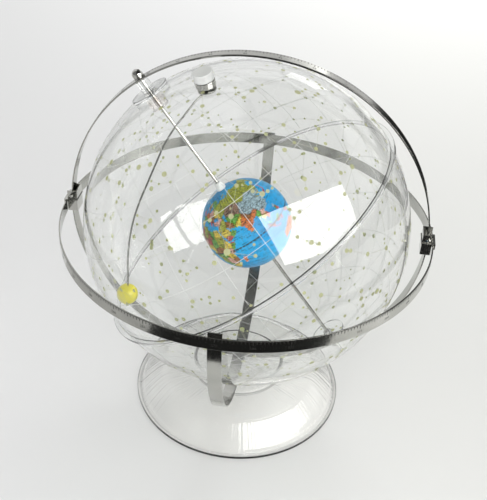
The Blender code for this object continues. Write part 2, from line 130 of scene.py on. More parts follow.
class Nodes:
    """Short ways to add shader nodes to one material."""

    def __init__(self, name):
        self.material = bpy.data.materials.new(name)
        self.material.use_nodes = True
        self.tree = self.material.node_tree
        self.shader = self.tree.nodes["Principled BSDF"]
        self.output = self.tree.nodes["Material Output"]

    def add(self, kind, **values):
        node = self.tree.nodes.new(kind)
        for name, value in values.items():
            setattr(node, name, value)
        return node

    def link(self, source, target):
        self.tree.links.new(source, target)

    def set(self, **values):
        for name, value in values.items():
            self.shader.inputs[name.replace("_", " ")].default_value = value

    def drive(self, name, source):
        self.link(source, self.shader.inputs[name])

    def place(self):
        return self.add('ShaderNodeTexCoord').outputs["Object"]

    def noise_at(self, spot, scale, detail):
        noise = self.add('ShaderNodeTexNoise')
        noise.inputs["Scale"].default_value = scale
        noise.inputs["Detail"].default_value = detail
        self.link(spot, noise.inputs["Vector"])
        return noise.outputs["Fac"]

    def noise(self, scale, detail=3.0, stretch=(1, 1, 1)):
        mapping = self.add('ShaderNodeMapping')
        mapping.inputs["Scale"].default_value = stretch
        self.link(self.place(), mapping.inputs["Vector"])
        return self.noise_at(mapping.outputs["Vector"], scale, detail)

    def ramp(self, factor, low, high, start=0.35, end=0.65):
        """The defaults span the middle of a noise's values."""
        return map_range(self.tree, factor, low, high, start, end)

    def mix_colour(self, factor, first, second):
        mix = self.add('ShaderNodeMix', data_type='RGBA')
        self.link(factor, mix.inputs["Factor"])
        for socket, value in ((mix.inputs["A"], first), (mix.inputs["B"], second)):
            if isinstance(value, tuple):
                socket.default_value = (*value, 1.0)
            else:
                self.link(value, socket)
        return mix.outputs["Result"]

    def mottle(self, scale, first, second):
        """A base colour that wanders between two colours."""
        share = self.ramp(self.noise(scale, 4.0), 0.0, 1.0)
        self.drive("Base Color", self.mix_colour(share, first, second))

    def bump(self, factor, distance, strength=1.0):
        bump = self.add('ShaderNodeBump')
        bump.inputs["Distance"].default_value = distance
        bump.inputs["Strength"].default_value = strength
        self.link(factor, bump.inputs["Height"])
        self.drive("Normal", bump.outputs["Normal"])

    def mix_in(self, second):
        """Mixes a second shader in, and returns the input that holds its share."""
        mix = self.add('ShaderNodeMixShader')
        self.link(self.shader.outputs["BSDF"], mix.inputs[1])
        self.link(second.outputs["BSDF"], mix.inputs[2])
        self.link(mix.outputs["Shader"], self.output.inputs["Surface"])
        return mix.inputs["Fac"]

    def let_lamps_through(self, share=1.0):
        """Clear plastic throws next to no shadow: shadow rays pass a Transparent shader instead."""
        clear = self.add('ShaderNodeBsdfTransparent')
        clear.inputs["Color"].default_value = (0.97 * share, 0.98 * share, 0.97 * share, 1.0)
        self.link(self.add('ShaderNodeLightPath').outputs["Is Shadow Ray"], self.mix_in(clear))
        return clear


def clear_plastic(name, colour, wave, wave_scale):
    """Polished clear plastic with the faint unevenness of moulding."""
    nodes = Nodes(name)
    nodes.set(Base_Color=(*colour, 1.0), Transmission_Weight=1.0, IOR=ACRYLIC_IOR, Roughness=0.0)
    nodes.bump(nodes.noise(wave_scale, 2.0), wave)
    nodes.let_lamps_through(0.96)
    return nodes.material


def moulded_dish(name, colour, edges, rim):
    """Clear plastic with faint lines that run out from the middle, as the melt flowed, and painted
    shade: darker rings in its colour at its moulded edges, for the dark lines that refraction draws
    there. It shades the ground under its rim."""
    nodes = Nodes(name)
    nodes.set(Transmission_Weight=1.0, IOR=ACRYLIC_IOR, Roughness=0.0)
    flat = nodes.add('ShaderNodeVectorMath', operation='MULTIPLY')
    flat.inputs[1].default_value = (1, 1, 0)
    nodes.link(nodes.place(), flat.inputs[0])
    outward = nodes.add('ShaderNodeVectorMath', operation='NORMALIZE')
    nodes.link(flat.outputs["Vector"], outward.inputs[0])
    nodes.bump(nodes.noise_at(outward.outputs["Vector"], 30.0, 3.0), 0.0006)
    length = nodes.add('ShaderNodeVectorMath', operation='LENGTH')
    nodes.link(flat.outputs["Vector"], length.inputs[0])
    radius = length.outputs["Value"]
    tint = colour
    # Painted shade: each ring darkens the clear colour where refraction draws a dark line.
    for edge, half_width, shade in edges:
        ring = maths(nodes.tree, 'COMPARE', radius, edge, half_width)
        tint = nodes.mix_colour(ring, tint, (shade, shade, shade))
    nodes.drive("Base Color", tint)
    clear = nodes.let_lamps_through()
    nodes.link(nodes.ramp(radius, 0.995, 0.88, rim - 0.0010, rim), clear.inputs["Color"])
    return nodes.material


def steel(name, colour, rough_low, rough_high):
    nodes = Nodes(name)
    nodes.set(Metallic=1.0)
    nodes.mottle(45.0, colour, tuple(0.86 * c for c in colour))
    fine = nodes.noise(900.0, 4.0)
    nodes.drive("Roughness", nodes.ramp(fine, rough_low, rough_high))
    nodes.bump(fine, 0.00002, 0.5)
    return nodes.material


def plastic(name, colour, shade, roughness, coat=0.0):
    nodes = Nodes(name)
    nodes.mottle(60.0, colour, shade)
    nodes.set(Coat_Weight=coat, Coat_Roughness=0.1)
    fine = nodes.noise(700.0)
    nodes.drive("Roughness", nodes.ramp(fine, roughness * 0.8, roughness * 1.2))
    nodes.bump(fine, 0.00003, 0.6)
    return nodes.material


def ink(name, colour, shade, roughness=0.6, thin=0.0):
    """Printed ink. A thin one lets a share of the light straight through."""
    nodes = Nodes(name)
    nodes.mottle(350.0, colour, shade)
    nodes.set(Roughness=roughness, Specular_IOR_Level=0.2)
    if thin:
        nodes.mix_in(nodes.add('ShaderNodeBsdfTransparent')).default_value = thin
    return nodes.material


def print_on_plastic(name):
    """The Earth's printed map: its colours are stored on the mesh, and their alpha says how much fine
    dark detail covers them."""
    nodes = Nodes(name)
    stored = nodes.add('ShaderNodeVertexColor', layer_name="print")
    patchy = nodes.ramp(nodes.noise(260.0, 5.0), 0.0, 0.05)
    washed = nodes.mix_colour(patchy, stored.outputs["Color"], (0.9, 0.95, 0.95))
    hatched = nodes.ramp(nodes.noise(620.0, 2.0, (1, 1, 2.4)), 0.0, 0.45, 0.51, 0.62)
    share = maths(nodes.tree, 'MULTIPLY', hatched, stored.outputs["Alpha"])
    nodes.drive("Base Color", nodes.mix_colour(share, washed, (0.035, 0.05, 0.03)))
    nodes.set(Roughness=0.35, Specular_IOR_Level=0.2, Coat_Weight=0.12, Coat_Roughness=0.08)
    nodes.bump(nodes.noise(500.0), 0.00002, 0.5)
    return nodes.material


STRIP = steel("strip_steel", (0.52, 0.52, 0.49), 0.08, 0.17)
WIRE = steel("wire_steel", (0.36, 0.36, 0.34), 0.08, 0.16)
BRIGHT = steel("bright_steel", (0.60, 0.60, 0.57), 0.06, 0.14)
SPHERE = clear_plastic("sphere_acrylic", (0.985, 0.99, 0.985), 0.00012, 9.0)
FITTING = clear_plastic("fitting_acrylic", (0.97, 0.98, 0.975), 0.00010, 60.0)
BLUSH = clear_plastic("collar_acrylic", (0.95, 0.90, 0.88), 0.00010, 60.0)
# Painted shade: dark rings in the base's colour where its edges are, for the dark lines that
# refraction draws there: radius, half width, tint.
DISH_EDGE_SHADE = ((0.0488, 0.0004, 0.40), (0.1046, 0.0003, 0.60), (0.1076, 0.0004, 0.34))
DISH = moulded_dish("base_acrylic", (0.995, 0.995, 0.985), DISH_EDGE_SHADE, 0.1055)
WHITE = plastic("white_plastic", (0.86, 0.87, 0.86), (0.80, 0.81, 0.79), 0.32)
YELLOW = plastic("sun_yellow", (0.82, 0.74, 0.010), (0.73, 0.66, 0.008), 0.34, coat=0.15)
# Painted shade: the knob's top is a greyer copy of its white plastic, darker than its side as the light
# falls.
CAP_TOP_PAINTED_SHADE = plastic("cap_top_painted_shade", (0.60, 0.61, 0.59), (0.55, 0.56, 0.54), 0.40)
STAR_INK = ink("star_ink", (0.56, 0.57, 0.33), (0.47, 0.48, 0.27), thin=0.22)
STAR_BACK = ink("star_ink_seen_from_inside", (0.74, 0.77, 0.34), (0.66, 0.69, 0.30), thin=0.42)
FIGURE_INK = ink("figure_ink", (0.50, 0.51, 0.40), (0.42, 0.43, 0.34))
GRID_INK = ink("grid_ink", (0.64, 0.65, 0.63), (0.72, 0.73, 0.71))
# Etched marks and numbers; the same dark ink also paints shade as a line along the hoops' edges.
DARK_MARK = ink("etched_marks_and_painted_edge_shade", (0.014, 0.014, 0.012), (0.03, 0.03, 0.027), 0.5)
MAP_PRINT = print_on_plastic("earth_print")

# ---------------------------------------------------------------- building helpers

CREASE = math.radians(35)           # edges sharper than this stay sharp under smooth shading


def new_item(name, points, faces, place=GROUND):
    mesh = bpy.data.meshes.new(name)
    mesh.from_pydata([tuple(place @ Vector(p)) for p in points], [], faces)
    item = bpy.data.objects.new(name, mesh)
    bpy.context.scene.collection.objects.link(item)
    return item


def finish_mesh(name, points, faces, place, material, body, slot, stands_for=None, weld=2e-6):
    """A clean mesh object in the row frame, riding on its body."""
    item = new_item(name, points, faces, place)
    shape = bmesh.new()
    shape.from_mesh(item.data)
    bmesh.ops.remove_doubles(shape, verts=shape.verts, dist=weld)
    bmesh.ops.recalc_face_normals(shape, faces=shape.faces)
    shape.to_mesh(item.data)
    shape.free()
    item.data.shade_smooth()
    item.data.set_sharp_from_angle(angle=CREASE)
    item.data.materials.append(material)
    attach(item, body)
    if stands_for:
        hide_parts(stands_for)
    return item


def skin(loops, wrap, loop_closed=True):
    """Points and faces of the surface through a row of loops that have the same number of points."""
    size, count = len(loops[0]), len(loops)
    points = [p for loop in loops for p in loop]
    faces = []
    for i in range(count if wrap else count - 1):
        here, there = i * size, ((i + 1) % count) * size
        for j in range(size if loop_closed else size - 1):
            k = (j + 1) % size
            faces.append((here + j, there + j, there + k, here + k))
    if not wrap:
        faces.append(tuple(range(size))[::-1])
        faces.append(tuple(range((count - 1) * size, count * size)))
    return points, faces


def rounded(outline, radius, steps=3, closed=True):
    """The outline with each corner replaced by a small curve, and a point beside each curve that
    keeps the flat face flat under smooth shading."""
    result = []
    for i, corner in enumerate(outline):
        if not closed and i in (0, len(outline) - 1):
            result.append(corner)
            continue
        corner = Vector(corner)
        before, after = Vector(outline[i - 1]), Vector(outline[(i + 1) % len(outline)])
        cut_in = min(radius, (before - corner).length * 0.45)
        cut_out = min(radius, (after - corner).length * 0.45)
        start = corner + (before - corner).normalized() * cut_in
        end = corner + (after - corner).normalized() * cut_out
        result.append(tuple(start + (start - corner) * 0.1))
        for step in range(steps + 1):
            t = step / steps
            result.append(tuple(start * (1 - t) ** 2 + corner * 2 * t * (1 - t) + end * t ** 2))
        result.append(tuple(end + (end - corner) * 0.1))
    return result


def full_turn(count):
    return [2 * math.pi * i / count for i in range(count)]


def around(radius, turn, height):
    """A point at that radius, angle and height round the frame's Z axis."""
    return Vector((radius * math.cos(turn), radius * math.sin(turn), height))


def arc(radius, start, end, count, centre=(0.0, 0.0)):
    angles = [start + (end - start) * i / count for i in range(count + 1)]
    return [(centre[0] + radius * math.cos(a), centre[1] + radius * math.sin(a)) for a in angles]


def turned(name, profile, place, material, body, slot, stands_for, steps=64, closed=True):
    """A solid of revolution. The profile is (radius, height) points; an open one ends on the axis."""
    loops = [[around(r, turn, z) for r, z in profile] for turn in full_turn(steps)]
    points, faces = skin(loops, True, closed)
    return finish_mesh(name, points, faces, place, material, body, slot, stands_for)


def collar(name, outer, inner, low, high, edge, *riding, steps=64):
    """A short tube with rounded edges. What follows the edge says where it goes, as in turned()."""
    section = rounded([(outer, high), (outer, low), (inner, low), (inner, high)], edge)
    return turned(name, section, *riding, steps=steps)


def evaluated_mesh(item):
    bpy.context.view_layer.update()
    return bpy.data.meshes.new_from_object(item.evaluated_get(bpy.context.evaluated_depsgraph_get()))


def drilled(item, radius, depth, place):
    """Cuts a round hole whose axis is the Z axis of the given frame."""
    points, faces = skin([[around(radius, turn, z) for turn in full_turn(32)] for z in (-depth, depth)],
                         False)
    drill = new_item("drill", points, faces, place)
    cut = item.modifiers.new("cut", 'BOOLEAN')
    cut.operation = 'DIFFERENCE'
    cut.solver = 'EXACT'
    cut.object = drill
    item.data = evaluated_mesh(item)
    item.modifiers.clear()
    bpy.data.objects.remove(drill, do_unlink=True)
    item.data.set_sharp_from_angle(angle=CREASE)


def on_sphere(radius, longitude, latitude):
    return around(radius * math.cos(latitude), longitude, radius * math.sin(latitude))


def ribbon_parts(spots, half_width, thickness, wrap=False):
    """A flat printed line that follows points lying on a sphere round the origin."""
    loops = []
    count = len(spots)
    for i, spot in enumerate(spots):
        before = spots[i - 1] if (i or wrap) else spots[0]
        after = spots[(i + 1) % count] if (i < count - 1 or wrap) else spots[-1]
        out = spot.normalized()
        side = (after - before).cross(out).normalized() * half_width
        top = out * thickness
        loops.append([spot - side, spot + side, spot + side + top, spot - side + top])
    return skin(loops, wrap)


def disc_parts(spot, radius, thickness, sides=18):
    """A thin round printed dot on a sphere round the origin."""
    out = spot.normalized()
    across = out.orthogonal().normalized()
    along = out.cross(across)
    loops = []
    for lift in (0.0, thickness):
        centre = out * (spot.length + lift)
        ring = [centre + across * radius * math.cos(turn) + along * radius * math.sin(turn)
                for turn in full_turn(sides)]
        loops.append([point.normalized() * centre.length for point in ring])
    return skin(loops, False)


class Sheaf:
    """Many small solids gathered into one mesh."""

    def __init__(self):
        self.points, self.faces = [], []

    def add(self, parts):
        points, faces = parts
        start = len(self.points)
        self.points += points
        self.faces += [tuple(start + i for i in face) for face in faces]

    def build(self, name, place, material, body):
        return finish_mesh(name, self.points, self.faces, place, material, body, None, weld=1e-7)


# ---------------------------------------------------------------- steel hoops and their scales

HOOP_STEPS = 240
STRIP_EDGE = 0.00016                # rounding of the strip's edges
MARK_LIFT = 0.00001                 # of the marks over the steel
MARK_THICKNESS = 0.00004
MARK_HALF_WIDTH = 0.00032
MARK_START = 0.0004                 # from the strip's edge to the marks
MARK_ENDS = {10: 0.0044, 5: 0.0038, 1: 0.0030}   # of the marks every 10, 5 and 1 degrees
NUMBER_SIZE = 0.0036
NUMBER_FOOT = 0.0086                # from the strip's edge to the numbers' feet


def hoop(name, outer, angles, place, body, stands_for, wrap=True, ends=None):
    """A strip of steel bent round the frame's Z axis. An open one runs on straight at both ends, up to
    the Y that ends gives."""
    inner = outer - STRIP_THICKNESS
    section = rounded([(outer, -STRIP_HALF_WIDTH), (outer, STRIP_HALF_WIDTH),
                       (inner, STRIP_HALF_WIDTH), (inner, -STRIP_HALF_WIDTH)], STRIP_EDGE)
    loops = [[around(r, turn, z) for r, z in section] for turn in angles]
    if ends:
        loops.insert(0, [(p.x, ends, p.z) for p in loops[0]])
        loops.append([(p.x, ends, p.z) for p in loops[-1]])
    points, faces = skin(loops, wrap)
    return finish_mesh(name, points, faces, place, STRIP, body, "steel_strip", stands_for)


def number_mesh(number):
    """The flat shape of a number, its foot on the X axis and its middle on the Y axis."""
    written = bpy.data.curves.new("number", 'FONT')
    written.body = str(number)
    written.size = NUMBER_SIZE
    written.align_x = 'CENTER'
    written.resolution_u = 1
    written.extrude = MARK_THICKNESS / 2
    holder = bpy.data.objects.new("number", written)
    bpy.context.scene.collection.objects.link(holder)
    mesh = evaluated_mesh(holder)
    bpy.data.objects.remove(holder, do_unlink=True)
    return mesh


def dial(name, radius, place, body, edge, up, zero, line):
    """Etched degree marks and generic numbers on the outer face of a hoop. The marks hang from the
    edge at that height, up is -1 where the numbers read from the other side, and a line of painted
    shade, a dark band that thickens the dark look of the strip's edge, runs all round between the two
    heights of the line."""
    marks = Sheaf()
    face = radius + MARK_LIFT
    top = face + MARK_THICKNESS
    half = MARK_HALF_WIDTH / radius
    for degree in range(360):
        mark_end = next(end for step, end in MARK_ENDS.items() if degree % step == 0)
        corners = ((-1, MARK_START), (1, MARK_START), (1, mark_end), (-1, mark_end))
        centre = zero + math.radians(degree)
        marks.add(skin([[around(r, centre + side * half, edge - up * drop) for side, drop in corners]
                        for r in (face, top)], False))
    for degree in range(0, 360, 10):
        mesh = number_mesh(degree)
        centre = zero + math.radians(degree)
        foot = edge - up * NUMBER_FOOT
        points = [around(face + MARK_THICKNESS / 2 + v.co.z, centre + up * v.co.x / radius,
                         foot + up * v.co.y) for v in mesh.vertices]
        marks.add((points, [tuple(p.vertices) for p in mesh.polygons]))
    # Painted shade: a dark band beside the strip's edge, thickening the dark line the edge shows.
    corners = ((face, line[0]), (face, line[1]), (top, line[1]), (top, line[0]))
    marks.add(skin([[around(r, turn, z) for r, z in corners] for turn in full_turn(HOOP_STEPS)], True))
    marks.build(name, place, DARK_MARK, body)


hoop("horizon_band", HORIZON_RADIUS, full_turn(HOOP_STEPS), CENTRE, "stand", "horizon_ring")
dial("horizon_scale", HORIZON_RADIUS, CENTRE, "stand", STRIP_HALF_WIDTH, 1, 0.0, (0.0052, 0.0058))

meridian = hoop("meridian_band", MERIDIAN_RADIUS, full_turn(HOOP_STEPS), MERIDIAN, "meridian",
                "meridian_ring")
drilled(meridian, BORE, 0.2, POLAR)
dial("meridian_scale", MERIDIAN_RADIUS, MERIDIAN, "meridian", -STRIP_HALF_WIDTH, -1, LATITUDE,
     (0.0046, 0.0058))

half_turn = [-math.pi * i / 120 for i in range(121)]
strap = hoop("cradle_band", CRADLE_RADIUS, half_turn, CRADLE, "stand", "cradle_strap", wrap=False,
             ends=CRADLE_END)
drilled(strap, SCREW_HOLE, 0.03, Matrix.Translation((0, 0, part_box("base_screw")[0].z)))

for node in ("clip_north", "clip_south", "clip_screw_north", "clip_screw_south"):
    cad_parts[node].data.materials.clear()
    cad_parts[node].data.materials.append(BRIGHT)

# ---------------------------------------------------------------- the clear base

DISH_WALL = 0.003
DISH_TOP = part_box("base_dish")[1].z
DISH_TOP_RADIUS = 0.0490
DISH_TOP_SLOPE = 0.0008             # how far the raised top's side leans
DISH_STEP = 0.0015                  # from the raised top down to the shoulder
SHOULDER_RADIUS = 0.0740            # where the shoulder bends down into the skirt
SKIRT_TILTS = [math.radians(t) for t in (2, 42, 57)]
SKIRT_BENDS = (0.016, 0.123)        # bend radii from each of those tilts to the next
BASE_RADIUS = 0.1079
RIM_HEIGHT = 0.0030
RIM_WIDTH = 0.0034
RIM_EDGE = 0.0006
HOLLOW_RADIUS = 0.1020              # of the hollow's mouth, just over the ground
HOLLOW_FOOT = 0.0010
HOLLOW_START = 0.0022               # height from which the hollow follows the skirt


def dish_section():
    """Raised top, level shoulder, a tight turn, then a long steep skirt."""
    level = DISH_TOP - DISH_STEP
    points = [(DISH_TOP_RADIUS - DISH_TOP_SLOPE, DISH_TOP), (DISH_TOP_RADIUS, level)]
    start = (SHOULDER_RADIUS, level - (SHOULDER_RADIUS - DISH_TOP_RADIUS) * math.tan(SKIRT_TILTS[0]))
    for radius, first, last in zip(SKIRT_BENDS, SKIRT_TILTS, SKIRT_TILTS[1:]):
        middle = (start[0] - radius * math.sin(first), start[1] - radius * math.cos(first))
        points += arc(radius, math.pi / 2 - first, math.pi / 2 - last, 12, middle)
        start = points.pop()
    points.append(start)
    return points


def moved_inwards(points, distance):
    moved = []
    for i, (r, z) in enumerate(points):
        before, after = points[max(i - 1, 0)], points[min(i + 1, len(points) - 1)]
        along = Vector((after[0] - before[0], after[1] - before[1])).normalized()
        moved.append((r + along.y * distance, z - along.x * distance))
    return moved


skirt = dish_section()
outer = [(SCREW_HOLE, DISH_TOP)] + [p for p in skirt if p[1] > RIM_HEIGHT + RIM_EDGE]
rim = rounded([outer[-1], (outer[-1][0] + RIM_EDGE, RIM_HEIGHT), (BASE_RADIUS, RIM_HEIGHT),
               (BASE_RADIUS, 0.0), (BASE_RADIUS - RIM_WIDTH, 0.0), (HOLLOW_RADIUS, HOLLOW_FOOT)],
              RIM_EDGE, closed=False)
under = [p for p in moved_inwards(skirt, DISH_WALL) if p[1] > HOLLOW_START and p[0] < HOLLOW_RADIUS]
inner = under[::-1] + [(SCREW_HOLE, DISH_TOP - DISH_WALL)]
turned("base_moulding", outer[:-1] + rim[:-1] + inner, GROUND, DISH, "stand", "clear_base", "base_dish",
       steps=144)



def screwed_on(node, name, edge, material, slot, steps=64):
    """A ring round the base screw, as large as its CAD node."""
    low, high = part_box(node)
    collar(name, high.x, SCREW_HOLE, low.z, high.z, edge, GROUND, material, "stand", slot, node,
           steps=steps)


screwed_on("base_spacer", "base_collar", 0.0003, FITTING, "clear_fittings")
HEAD_HEIGHT = 0.0012
HEAD_DOME = ((0, 0), (0.0020, 0.0001), (0.0031, 0.0004), (0.0038, 0.0008), (0.0038, HEAD_HEIGHT))
SHANK_RADIUS = 0.0020
screw_foot, screw_top = (corner.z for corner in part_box("base_screw"))
turned("base_bolt", [(radius, screw_top - drop) for radius, drop in HEAD_DOME]
       + [(SHANK_RADIUS, screw_top - HEAD_HEIGHT), (SHANK_RADIUS, screw_foot + CHAMFER),
          (SHANK_RADIUS - CHAMFER, screw_foot), (0, screw_foot)],
       GROUND, BRIGHT, "stand", "bright_steel", "base_screw", closed=False)
screwed_on("base_washer", "bolt_washer", 0.0002, BRIGHT, "bright_steel")
screwed_on("base_nut", "bolt_nut", 0.0002, BRIGHT, "bright_steel", steps=6)

# ---------------------------------------------------------------- the clear sphere

SPHERE_ACROSS, SPHERE_UP = 180, 56  # facets round the axis, and from equator to pole
FLANGE_EDGE = 0.0002


def shell_section(radius, wall, hole, count, inner_count, flange=False):
    """Section of the upper half of a hollow ball, open at the pole and at the equator."""
    inside = radius - wall
    result = arc(radius, math.acos(hole / radius), 0, count)[:-1]
    if flange:
        top = SEAM_GAP + FLANGE_THICKNESS
        result += [(math.sqrt(radius ** 2 - top ** 2), top), (FLANGE_RADIUS - FLANGE_EDGE, top),
                   (FLANGE_RADIUS, top - FLANGE_EDGE), (FLANGE_RADIUS, SEAM_GAP)]
    else:
        result.append((radius, SEAM_GAP))
    return result + arc(inside, math.asin(SEAM_GAP / inside), math.acos(hole / inside), inner_count)


section = shell_section(SPHERE_RADIUS, SPHERE_WALL, POLE_HOLE, SPHERE_UP, SPHERE_UP, flange=True)
for side, place in (("north", POLAR), ("south", POLAR_SOUTH)):
    half = turned("clear_half_" + side, section, place, SPHERE, "celestial_sphere", "clear_sphere",
                  "sphere_" + side, steps=SPHERE_ACROSS)
    if side == "north":
        drilled(half, SCREW_HOLE, 0.01, ECLIPTIC @ Matrix.Translation((0, 0, SPHERE_RADIUS)))

DISC_RADIUS = 0.0180
DISC_LOW = SPHERE_RADIUS + GAP
DISC_HIGH = DISC_LOW + 0.0032
HUB_RADIUS = 0.0055
HUB_TOP = MERIDIAN_RADIUS - STRIP_THICKNESS - 0.0005
SPIGOT = POLE_HOLE - GAP
SPIGOT_END = SPHERE_INSIDE - GAP
COLLAR_RADIUS, COLLAR_END = 0.0080, 0.1370
WASHER_RADIUS = 0.0052
WASHER_LOW = MERIDIAN_RADIUS + 0.0004
WASHER_HIGH = WASHER_LOW + 0.0008
NUT_RADIUS = 0.0048
NUT_LOW = WASHER_HIGH + GAP
NUT_DEPTH = 0.0030                  # of the blind hole in the dome nut
DOME_CENTRE = NUT_LOW + 0.0022
ROD_END = MERIDIAN_RADIUS + 0.0042

for side, place in (("north", POLAR), ("south", POLAR_SOUTH)):
    hub = rounded([(HUB_RADIUS, HUB_TOP), (HUB_RADIUS, DISC_HIGH), (DISC_RADIUS, DISC_HIGH),
                   (DISC_RADIUS, DISC_LOW), (SPIGOT, DISC_LOW), (SPIGOT, SPIGOT_END),
                   (BORE, SPIGOT_END), (BORE, HUB_TOP)], 0.0005)
    turned("pole_disc_" + side, hub, place, FITTING, "celestial_sphere", "clear_fittings",
           "polar_hub_" + side, steps=96)
    collar("axle_washer_" + side, WASHER_RADIUS, BORE, WASHER_LOW, WASHER_HIGH, 0.0002, place, BRIGHT,
           "meridian", "bright_steel", "polar_washer_" + side)
    dome = arc(NUT_RADIUS, math.pi / 2, 0, 16, (0.0, DOME_CENTRE))
    dome[0] = (0.0, dome[0][1])
    nut = dome + [(NUT_RADIUS, NUT_LOW + CHAMFER), (NUT_RADIUS - CHAMFER, NUT_LOW), (BORE, NUT_LOW),
                  (BORE, NUT_LOW + NUT_DEPTH), (0, NUT_LOW + NUT_DEPTH)]
    turned("axle_dome_" + side, nut, place, BRIGHT, "earth_axle", "bright_steel", "dome_nut_" + side,
           closed=False)

collar("pole_collar_north", COLLAR_RADIUS, BORE, COLLAR_END, SPIGOT_END - 2 * GAP, 0.0005, POLAR, BLUSH,
       "celestial_sphere", "clear_fittings", "inner_collar_north")
turned("axle_rod", [(0, ROD_END), (ROD_RADIUS, ROD_END), (ROD_RADIUS, -ROD_END), (0, -ROD_END)], POLAR,
       BRIGHT, "earth_axle", "bright_steel", "polar_rod", steps=32, closed=False)

# ---------------------------------------------------------------- the printed sky

INK_HEIGHT = 0.00005
INK_RADIUS = SPHERE_RADIUS + 0.00006
STAR_LIFT = 1 + INK_HEIGHT * 1.4 / INK_RADIUS    # stars lie over the lines
STAR_RADIUS = 0.0031                # of a star of magnitude 0
STAR_SHRINKAGE = 0.00042            # less for each magnitude
BRIGHTEST = 0.9                     # the magnitude from which a star's dot grows no larger
SMALLEST_RADIUS = 0.0012
FAINT_STARS = 330
FAINT_RADII = (0.0007, 0.0009, 0.0012, 0.0016)
FIGURE_HALF_WIDTH = 0.00011
FIGURE_STEP = math.radians(3)
GRID_HALF_WIDTH = 0.00018
GRID_HEIGHT = INK_HEIGHT * 0.6

